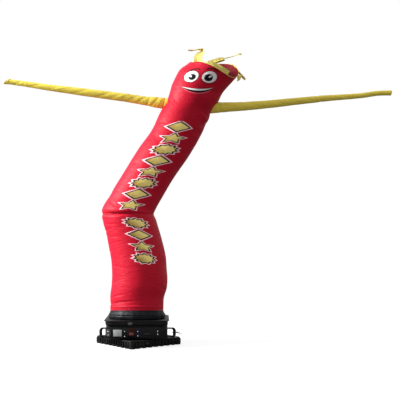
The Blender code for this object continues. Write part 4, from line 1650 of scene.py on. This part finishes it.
@dataclass(frozen=True)
class MouldedShell:
    """A moulded part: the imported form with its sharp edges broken."""

    node: str
    name: str
    slot: str
    edge: float = 0.0012
    steps: int = 2

    def build(self, source: bpy.types.Object, finish: bpy.types.Material) -> bpy.types.Object:
        """Make the part.

        Args:
            source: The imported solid.
            finish: Its material.

        Returns:
            The finished piece.
        """
        piece = source.copy()
        piece.data = source.data.copy()
        for key in list(piece.keys()):
            del piece[key]
        piece.parent = None
        bpy.context.scene.collection.objects.link(piece)
        piece.name = self.name
        piece.data.name = self.name
        Workbench.select(piece, "FACE", lambda face: True)
        bpy.ops.mesh.remove_doubles(threshold=0.00002)
        bpy.ops.mesh.dissolve_limited(angle_limit=math.radians(1))
        Workbench.done()
        Workbench.apply(
            piece,
            "BEVEL",
            width=self.edge,
            segments=self.steps,
            limit_method="ANGLE",
            angle_limit=math.radians(35),
        )
        piece.data.materials.clear()
        piece.data.materials.append(finish)
        Workbench.soften(piece, 32)
        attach(piece, BODY)
        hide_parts(self.node)
        return piece


@dataclass(frozen=True)
class ScrewSeat:
    """Where a screw's head sits: across, height, and how far its seat stands out from the fascia."""

    across: float
    height: float
    stand_out: float


@dataclass
class PanScrews:
    """The fascia's cross-head screws, modelled once and copied."""

    seats: tuple[ScrewSeat, ...] = (
        ScrewSeat(-0.2267, 0.1304, 0.0043),
        ScrewSeat(-0.2267, 0.1045, 0.0043),
        ScrewSeat(-0.0984, 0.1304, 0.0),
        ScrewSeat(-0.0984, 0.0926, 0.0),
        ScrewSeat(0.0055, 0.1304, 0.0033),
        ScrewSeat(0.0055, 0.0955, 0.0033),
        ScrewSeat(0.1621, 0.1320, 0.0),
        ScrewSeat(0.1621, 0.1084, 0.0),
    )
    face: float = -0.2573
    gap: float = 0.0003
    radius: float = 0.0045
    tall: float = 0.0025
    dome: float = 0.0014
    slot_long: float = 0.0054
    slot_wide: float = 0.0011
    slot_deep: float = 0.0012

    def pattern(self) -> bpy.types.Object:
        """Model one screw head, facing the viewer at the origin."""
        Workbench.clear()
        bpy.ops.mesh.primitive_cylinder_add(vertices=28, radius=self.radius, depth=self.tall)
        head = Workbench.named("screw_pattern")
        top = self.tall / 2
        Workbench.select(
            head, "EDGE", lambda edge, verts: all(verts[i].co.z > top - 0.0001 for i in edge.vertices)
        )
        bpy.ops.mesh.bevel(offset=self.dome, segments=4, affect="EDGES")
        Workbench.done()
        for turn in (0.0, math.pi / 2):
            Workbench.clear()
            bpy.ops.mesh.primitive_cube_add(size=1, location=(0, 0, top), rotation=(0, 0, turn + 0.4))
            cutter = Workbench.named("slot_cutter")
            cutter.scale = (self.slot_long, self.slot_wide, 2 * self.slot_deep)
            Workbench.settle(cutter)
            Workbench.apply(head, "BOOLEAN", operation="DIFFERENCE", object=cutter, solver="EXACT")
            bpy.data.objects.remove(cutter)
        head.rotation_euler = (math.pi / 2, 0, 0)
        Workbench.settle(head)
        Workbench.soften(head, 35)
        return head

    def build(self, steel: bpy.types.Material) -> list[bpy.types.Object]:
        """Make the screws.

        Args:
            steel: Their material.

        Returns:
            The finished pieces.
        """
        pattern = self.pattern()
        made = []
        for number, seat in enumerate(self.seats):
            screw = pattern.copy()
            screw.data = pattern.data.copy()
            bpy.context.scene.collection.objects.link(screw)
            screw.name = f"pan_screw_{number}"
            back = self.face - seat.stand_out - self.gap
            screw.location = (seat.across, back - self.tall / 2, seat.height)
            Workbench.settle(screw)
            screw.data.materials.clear()
            screw.data.materials.append(steel)
            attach(screw, BODY)
            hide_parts(f"screw_{number}")
            made.append(screw)
        bpy.data.objects.remove(pattern)
        return made


@dataclass
class RockerSwitch:
    """The switch's rocker: a block with a valley across its face."""

    middle: tuple[float, float, float] = (-0.0453, -0.26340, 0.1107)
    size: tuple[float, float, float] = (0.034, 0.005, 0.020)
    valley: float = 0.0016
    edge: float = 0.0010

    def build(self, finish: bpy.types.Material) -> bpy.types.Object:
        """Make the rocker.

        Args:
            finish: Its material.

        Returns:
            The finished piece.
        """
        Workbench.clear()
        bpy.ops.mesh.primitive_cube_add(size=1)
        rocker = Workbench.named("switch_rocker")
        rocker.scale = self.size
        Workbench.settle(rocker)
        Workbench.select(rocker, "FACE", lambda face: True)
        bpy.ops.mesh.bisect(plane_co=(0, 0, 0), plane_no=(1, 0, 0))
        Workbench.done()
        front = -self.size[1] / 2
        Workbench.select(rocker, "VERT", lambda vert: abs(vert.co.x) < 0.0001 and vert.co.y < front / 2)
        bpy.ops.transform.translate(value=(0, self.valley, 0))
        Workbench.done()
        Workbench.apply(
            rocker, "BEVEL", width=self.edge, segments=3, limit_method="ANGLE", angle_limit=math.radians(30)
        )
        rocker.location = self.middle
        Workbench.settle(rocker)
        rocker.data.materials.append(finish)
        Workbench.soften(rocker, 30)
        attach(rocker, BODY)
        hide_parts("rocker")
        return rocker


@dataclass(frozen=True)
class BentBar:
    """A round bar along stops, each a place with its radius."""

    name: str
    stops: tuple[tuple[float, float, float, float], ...]
    hint: tuple[float, float, float] = (0, 1, 0)
    sides: int = 24
    spans: tuple[int, int] = (4, 14)
    squash: float = 1.0

    def build(self) -> bpy.types.Object:
        """Bend a closed cylinder along the stops."""
        bar = Workbench.grid_tube(self.name, self.sides, self.spans)
        mesh = bar.data
        plain = np.empty(len(mesh.vertices) * 3)
        mesh.vertices.foreach_get("co", plain)
        plain = plain.reshape(-1, 3)
        share = np.clip(plain[:, 2] + 0.5, 0, 1)
        rows = np.array(self.stops)
        run = np.concatenate([[0], np.cumsum(np.linalg.norm(np.diff(rows[:, :3], axis=0), axis=1))])
        curves = [SmoothCurve(run / run[-1], column) for column in rows.T]
        ahead, behind = np.clip(share + 0.004, 0, 1), np.clip(share - 0.004, 0, 1)
        along = np.stack([curve(ahead) - curve(behind) for curve in curves[:3]], 1)
        along /= np.linalg.norm(along, axis=1)[:, None]
        side = np.cross(along, self.hint)
        side /= np.linalg.norm(side, axis=1)[:, None]
        upward = np.cross(side, along) * self.squash
        middle = np.stack([curve(share) for curve in curves[:3]], 1)
        reach = curves[3](share)[:, None]
        skin = middle + (side * plain[:, :1] + upward * plain[:, 1:2]) * reach
        mesh.vertices.foreach_set("co", skin.ravel())
        mesh.update()
        Workbench.select(bar, "FACE", lambda face: True)
        bpy.ops.mesh.fill_holes(sides=0)
        Workbench.done()
        Workbench.face_out(bar)
        Workbench.apply(
            bar, "BEVEL", width=0.0008, segments=2, limit_method="ANGLE", angle_limit=math.radians(60)
        )
        Workbench.soften(bar, 40)
        return bar


@dataclass(frozen=True)
class Handle:
    """A D-shaped carrying handle with a thick grip."""

    node: str
    name: str
    side: int
    reach: float
    wall: float = 0.2468
    middle_x: float = -0.006
    back: float = -0.12
    top: float = 0.141
    bottom: float = 0.072
    bend: float = 0.022
    arm_radius: float = 0.0062
    grip_radius: float = 0.0125
    steps: int = 8

    def build(self, finish: bpy.types.Material) -> bpy.types.Object:
        """Make the handle.

        Args:
            finish: Its material.

        Returns:
            The finished piece.
        """
        stops = [(self.wall, self.top, self.arm_radius)]
        for middle, start in ((self.top - self.bend, 90.0), (self.bottom + self.bend, 0.0)):
            for step in range(self.steps + 1):
                turn = math.radians(start - 90.0 * step / self.steps)
                share = abs(math.cos(turn))
                radius = self.arm_radius + (self.grip_radius - self.arm_radius) * share
                stops.append(
                    (
                        self.reach - self.bend + self.bend * math.cos(turn),
                        middle + self.bend * math.sin(turn),
                        radius,
                    )
                )
        stops.append((self.wall, self.bottom, self.arm_radius))
        path = tuple((self.middle_x + self.side * x, self.back, z, radius) for x, z, radius in stops)
        piece = BentBar(self.name, path, spans=(8, 12)).build()
        piece.data.materials.append(finish)
        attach(piece, BODY)
        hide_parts(self.node)
        return piece


@dataclass
class KnottedTie:
    """The short tie round the right grip: a loop, a knot and two free ends."""

    grip: tuple[float, float, float] = (0.296, -0.12, 0.108)
    loop_radius: float = 0.0168
    cord_radius: float = 0.0026
    knot_at: tuple[float, float, float] = (0.317, -0.122, 0.108)
    ends: tuple[tuple[float, float, float], ...] = ((0.050, -0.012, -0.016), (0.028, 0.004, -0.024))
    rise: float = 0.004

    def build(self, cloth: bpy.types.Material) -> bpy.types.Object:
        """Make the tie as one piece.

        Args:
            cloth: Its material.

        Returns:
            The finished piece.
        """
        parts = []
        loops = (
            (self.grip, self.loop_radius, self.cord_radius, (0.0, 0.0, 0.0)),
            (self.knot_at, 0.0042, 0.0028, (1.2, 0.3, 0.0)),
            (self.knot_at, 0.0040, 0.0028, (0.2, 1.3, 0.5)),
            (self.knot_at, 0.0036, 0.0028, (-0.7, 0.6, 1.2)),
        )
        for place, major, minor, turn in loops:
            Workbench.clear()
            bpy.ops.mesh.primitive_torus_add(
                major_radius=major, minor_radius=minor, major_segments=32, minor_segments=12,
                location=place, rotation=turn,
            )
            parts.append(Workbench.named("tie_loop"))
        for end in self.ends:
            start = Vector(self.knot_at)
            tip = start + Vector(end)
            bend = start + Vector(end) / 2 + Vector((0, 0, self.rise))
            path = tuple((*stop, self.cord_radius) for stop in (start, bend, tip))
            free_end = BentBar("tie_end", path, hint=(0, 0.3, 1), sides=12, spans=(2, 8), squash=0.8)
            parts.append(free_end.build())
        Workbench.clear()
        for part in parts:
            part.select_set(True)
        bpy.context.view_layer.objects.active = parts[0]
        bpy.ops.object.join()
        tie = Workbench.named("knotted_tie")
        Workbench.settle(tie)
        tie.data.materials.clear()
        tie.data.materials.append(cloth)
        Workbench.soften(tie, 50)
        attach(tie, BODY)
        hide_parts("tether_tie")
        return tie


@dataclass
class Studio:
    """A plain pale floor, soft light and the photograph's camera."""

    camera_at: tuple[float, float, float] = (0.2, -5.743, 0.79)
    focal_pixels: float = 697.0
    frame_pixels: float = 400.0
    sensor: float = 36.0
    middle_pixel: tuple[float, float] = (162.5, 247.7)
    key_at: tuple[float, float, float] = (-4.0, -0.45, 3.0)
    key_aim: tuple[float, float, float] = (0.1, 0.0, 1.2)
    key_size: float = 1.5
    key_power: float = 700.0
    ambient_low: float = 0.36
    ambient_high: float = 0.88
    floor_shade: float = 0.15
    floor_size: float = 60.0

    def build(self) -> None:
        """Make the floor, the lights, the world and the camera."""
        self.make_floor()
        self.make_key()
        self.make_world()
        self.make_camera()
        view = bpy.context.scene.view_settings
        view.view_transform = "Standard"

    def make_floor(self) -> None:
        """Add the floor, which looks white and throws little light back."""
        Workbench.clear()
        bpy.ops.mesh.primitive_plane_add(size=self.floor_size, location=(0, 0, -0.0005))
        floor = Workbench.named("studio_floor")
        material = bpy.data.materials.new("pale_floor")
        material.use_nodes = True
        graph = Graph(material.node_tree)
        shader = material.node_tree.nodes["Principled BSDF"]
        shader.inputs["Base Color"].default_value = rgb(0.26, 0.26, 0.26)
        shader.inputs["Roughness"].default_value = 0.9
        shader.inputs["Specular IOR Level"].default_value = 0.1
        shader.inputs["Emission Color"].default_value = rgb(1, 1, 1)
        shader.inputs["Emission Strength"].default_value = 0.78
        glow = graph.node("Emission")
        x, y, _ = graph.split(graph.coordinates("Object"))
        far = graph.maths("SQRT", graph.maths("MULTIPLY_ADD", x, x, graph.maths("MULTIPLY", y, y)))
        seen = graph.node("MixShader")
        graph.feed(seen.inputs[0], graph.ramp(far, 0.7, 3.0))
        graph.feed(seen.inputs[1], shader.outputs[0])
        graph.feed(seen.inputs[2], glow.outputs[0])
        dim = graph.node("BsdfDiffuse")
        dim.inputs["Color"].default_value = rgb(self.floor_shade, self.floor_shade, self.floor_shade)
        blend = graph.node("MixShader")
        graph.feed(blend.inputs[0], graph.node("LightPath").outputs["Is Camera Ray"])
        graph.feed(blend.inputs[1], dim.outputs[0])
        graph.feed(blend.inputs[2], seen.outputs[0])
        graph.feed(material.node_tree.nodes["Material Output"].inputs["Surface"], blend.outputs[0])
        floor.data.materials.append(material)

    def make_key(self) -> None:
        """Add the large soft light on the left."""
        Workbench.clear()
        bpy.ops.object.light_add(type="AREA", location=self.key_at)
        key = bpy.context.object
        key.name = "key_light"
        key.data.shape = "DISK"
        key.data.size = self.key_size
        key.data.energy = self.key_power
        aim = Vector(self.key_aim) - Vector(self.key_at)
        key.rotation_euler = aim.to_track_quat("-Z", "Y").to_euler()

    def make_world(self) -> None:
        """Make a dim world that the camera sees as white."""
        world = bpy.data.worlds.new("studio")
        bpy.context.scene.world = world
        world.use_nodes = True
        tree = world.node_tree
        graph = Graph(tree)
        soft = tree.nodes["Background"]
        soft.inputs["Color"].default_value = rgb(1, 1, 1)
        _, _, upward = graph.split(graph.coordinates("Generated"))
        graph.feed(
            soft.inputs["Strength"], graph.ramp(upward, -0.6, 0.9, self.ambient_low, self.ambient_high)
        )
        white = graph.node("Background")
        white.inputs["Color"].default_value = rgb(1, 1, 1)
        white.inputs["Strength"].default_value = 1.0
        seen = graph.node("LightPath").outputs["Is Camera Ray"]
        blend = graph.node("MixShader")
        graph.feed(blend.inputs[0], seen)
        graph.feed(blend.inputs[1], soft.outputs[0])
        graph.feed(blend.inputs[2], white.outputs[0])
        graph.feed(tree.nodes["World Output"].inputs["Surface"], blend.outputs[0])

    def make_camera(self) -> None:
        """Add the camera, level and shifted as the photograph's framing needs."""
        Workbench.clear()
        bpy.ops.object.camera_add(location=self.camera_at, rotation=(math.pi / 2, 0, 0))
        camera = bpy.context.object
        camera.name = "photo_camera"
        lens = camera.data
        lens.sensor_width = self.sensor
        lens.lens = self.focal_pixels / self.frame_pixels * self.sensor
        across, down = self.middle_pixel
        lens.shift_x = 0.5 - across / self.frame_pixels
        lens.shift_y = down / self.frame_pixels - 0.5
        lens.clip_end = 200
        bpy.context.scene.camera = camera


# The red's inside colour is painted shade for the tube's inner face, not a different cloth.
RED = Nylon("red_nylon_cloth", rgb(0.49, 0.0060, 0.0240), 0.5, inside=rgb(0.19, 0.003, 0.009))
YELLOW = Nylon("yellow_nylon_cloth", rgb(0.84, 0.68, 0.098), 0.5, crumple=0.0016, crumple_scale=16.0)
STRIP_YELLOW = Nylon("yellow_nylon_strips", rgb(0.80, 0.67, 0.18), 0.5, crumple=0.0004, crumple_scale=14.0)
BLACK_CLOTH = Nylon(
    "black_coated_nylon", rgb(0.004, 0.0050, 0.0065), 0.48,
    sheen=0.0, specular=0.14, crumple=0.002, crumple_scale=9.0,
)
TIE_CLOTH = Nylon(
    "black_tie_cloth", rgb(0.008, 0.008, 0.009), 0.5,
    sheen=0.0, flat=False, crumple=0.0004, crumple_scale=60.0,
)

BLACK_PLASTIC = Plastic(
    "black_moulding", rgb(0.0042, 0.0042, 0.0044), 0.42, scuffs=0.1, dust=0.03, specular=0.16
)
GLOSS_BLACK = Plastic(
    "gloss_black", rgb(0.0040, 0.0040, 0.0045), 0.18, scuffs=0.05, dust=0.02, coat=0.3, specular=0.3
)
GREY_PLASTIC = Plastic("grey_fitting", rgb(0.075, 0.075, 0.078), 0.4, dust=0.08)
PALE_PLATE = Plastic("pale_blank_plate", rgb(0.36, 0.37, 0.37), 0.4, scuffs=0.12, dust=0.15)
DARK_RED = Plastic("dark_red_plate", rgb(0.022, 0.0035, 0.003), 0.36, scuffs=0.05, dust=0.03, specular=0.16)
LIT_RED = Plastic("lit_red_rocker", rgb(0.15, 0.050, 0.040), 0.25, scuffs=0.05, dust=0.03)
BLUE_BLACK = Plastic(
    "blue_black_plate", rgb(0.006, 0.007, 0.017), 0.36, scuffs=0.05, dust=0.03, specular=0.16
)
PLATED = Steel("plated_steel", rgb(0.88, 0.88, 0.87), 0.38)

SHELLS: tuple[tuple[MouldedShell, Finish], ...] = (
    (MouldedShell("base_feet", "foot_plate", "black_plastic", 0.0016), BLACK_PLASTIC),
    (MouldedShell("base_tray", "ribbed_tray", "black_plastic", 0.0014), BLACK_PLASTIC),
    (MouldedShell("base_deck", "deck_plate", "black_plastic", 0.0010), BLACK_PLASTIC),
    (MouldedShell("drain_cap", "drain_plug", "gloss_black", 0.0014), GLOSS_BLACK),
    (MouldedShell("housing", "fan_housing", "black_plastic", 0.0020), BLACK_PLASTIC),
    (MouldedShell("top_cap", "cover", "black_plastic", 0.0020), BLACK_PLASTIC),
    (MouldedShell("cap_lip", "cover_lip", "black_plastic", 0.0014), BLACK_PLASTIC),
    (MouldedShell("outlet_ring", "outlet_spigot", "black_plastic", 0.0010), BLACK_PLASTIC),
    (MouldedShell("latch_plate", "latch_back", "gloss_black", 0.0008), GLOSS_BLACK),
    (MouldedShell("latch_lever", "latch_paddle", "grey_plastic", 0.0014), GREY_PLASTIC),
    (MouldedShell("fascia", "front_panel", "black_plastic", 0.0020), BLACK_PLASTIC),
    (MouldedShell("gland_cover", "round_cover", "grey_plastic", 0.0014), GREY_PLASTIC),
    (MouldedShell("blank_plate", "blank_panel", "pale_plate", 0.0004), PALE_PLATE),
    (MouldedShell("switch_plate", "switch_surround", "dark_red_plastic", 0.0008), DARK_RED),
    (MouldedShell("socket_plate", "socket_surround", "blue_black_plastic", 0.0008), BLUE_BLACK),
    (MouldedShell("slot_bezel", "slot_surround", "gloss_black", 0.0010), GLOSS_BLACK),
)


@dataclass
class Wardrobe:
    """Makes each finish once and hands it out."""

    made: dict[str, bpy.types.Material] = field(default_factory=dict)

    def get(self, finish: Finish, **extra: object) -> bpy.types.Material:
        """Return a finish's material."""
        if finish.name not in self.made:
            self.made[finish.name] = finish.make(**extra)
        return self.made[finish.name]


def report(piece: bpy.types.Object) -> None:
    """Log a finished piece with its number of faces."""
    LOG.info("%s: %d faces", piece.name, len(piece.data.polygons))


def main() -> None:
    """Build the scene piece by piece."""
    logging.basicConfig(level=logging.INFO, format="%(message)s")
    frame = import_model()
    nodes = frame["nodes"]
    Studio().build()
    wardrobe = Wardrobe()

    tube = BodyCloth()
    length = float(tube.rule.length(np.array([tube.top]))[0])
    report(tube.build(wardrobe.get(RED, printed=TubePrint(), stitch_lines=(0.009, 0.016, length - 0.011))))
    report(CollarCloth().build(wardrobe.get(BLACK_CLOTH, stitch_lines=(0.05,))))
    cutter = Shoulders().build(tube)
    sleeves = (
        Sleeve("sleeve_left", "arm_left", LEFT_STOPS, -0.9, 180, LEFT_TWISTS),
        Sleeve("sleeve_right", "arm_right", RIGHT_STOPS, 0.2, 0, RIGHT_TWISTS),
    )
    for sleeve in sleeves:
        report(sleeve.build(wardrobe.get(YELLOW), cutter))
    bpy.data.objects.remove(cutter)
    strips = wardrobe.get(STRIP_YELLOW)
    report(RimBand().build(tube, strips))
    for strip in CROWN_STRIPS:
        report(strip.build(strips))

    for shell, finish in SHELLS:
        report(shell.build(nodes[shell.node], wardrobe.get(finish)))
    for screw in PanScrews().build(wardrobe.get(PLATED)):
        report(screw)
    report(RockerSwitch().build(wardrobe.get(LIT_RED)))
    handles = (
        Handle("handle_left", "carry_handle_left", -1, 0.292),
        Handle("handle_right", "carry_handle_right", 1, 0.302),
    )
    for handle in handles:
        report(handle.build(wardrobe.get(BLACK_PLASTIC)))
    report(KnottedTie().build(wardrobe.get(TIE_CLOTH)))


if __name__ == "__main__":
    main()
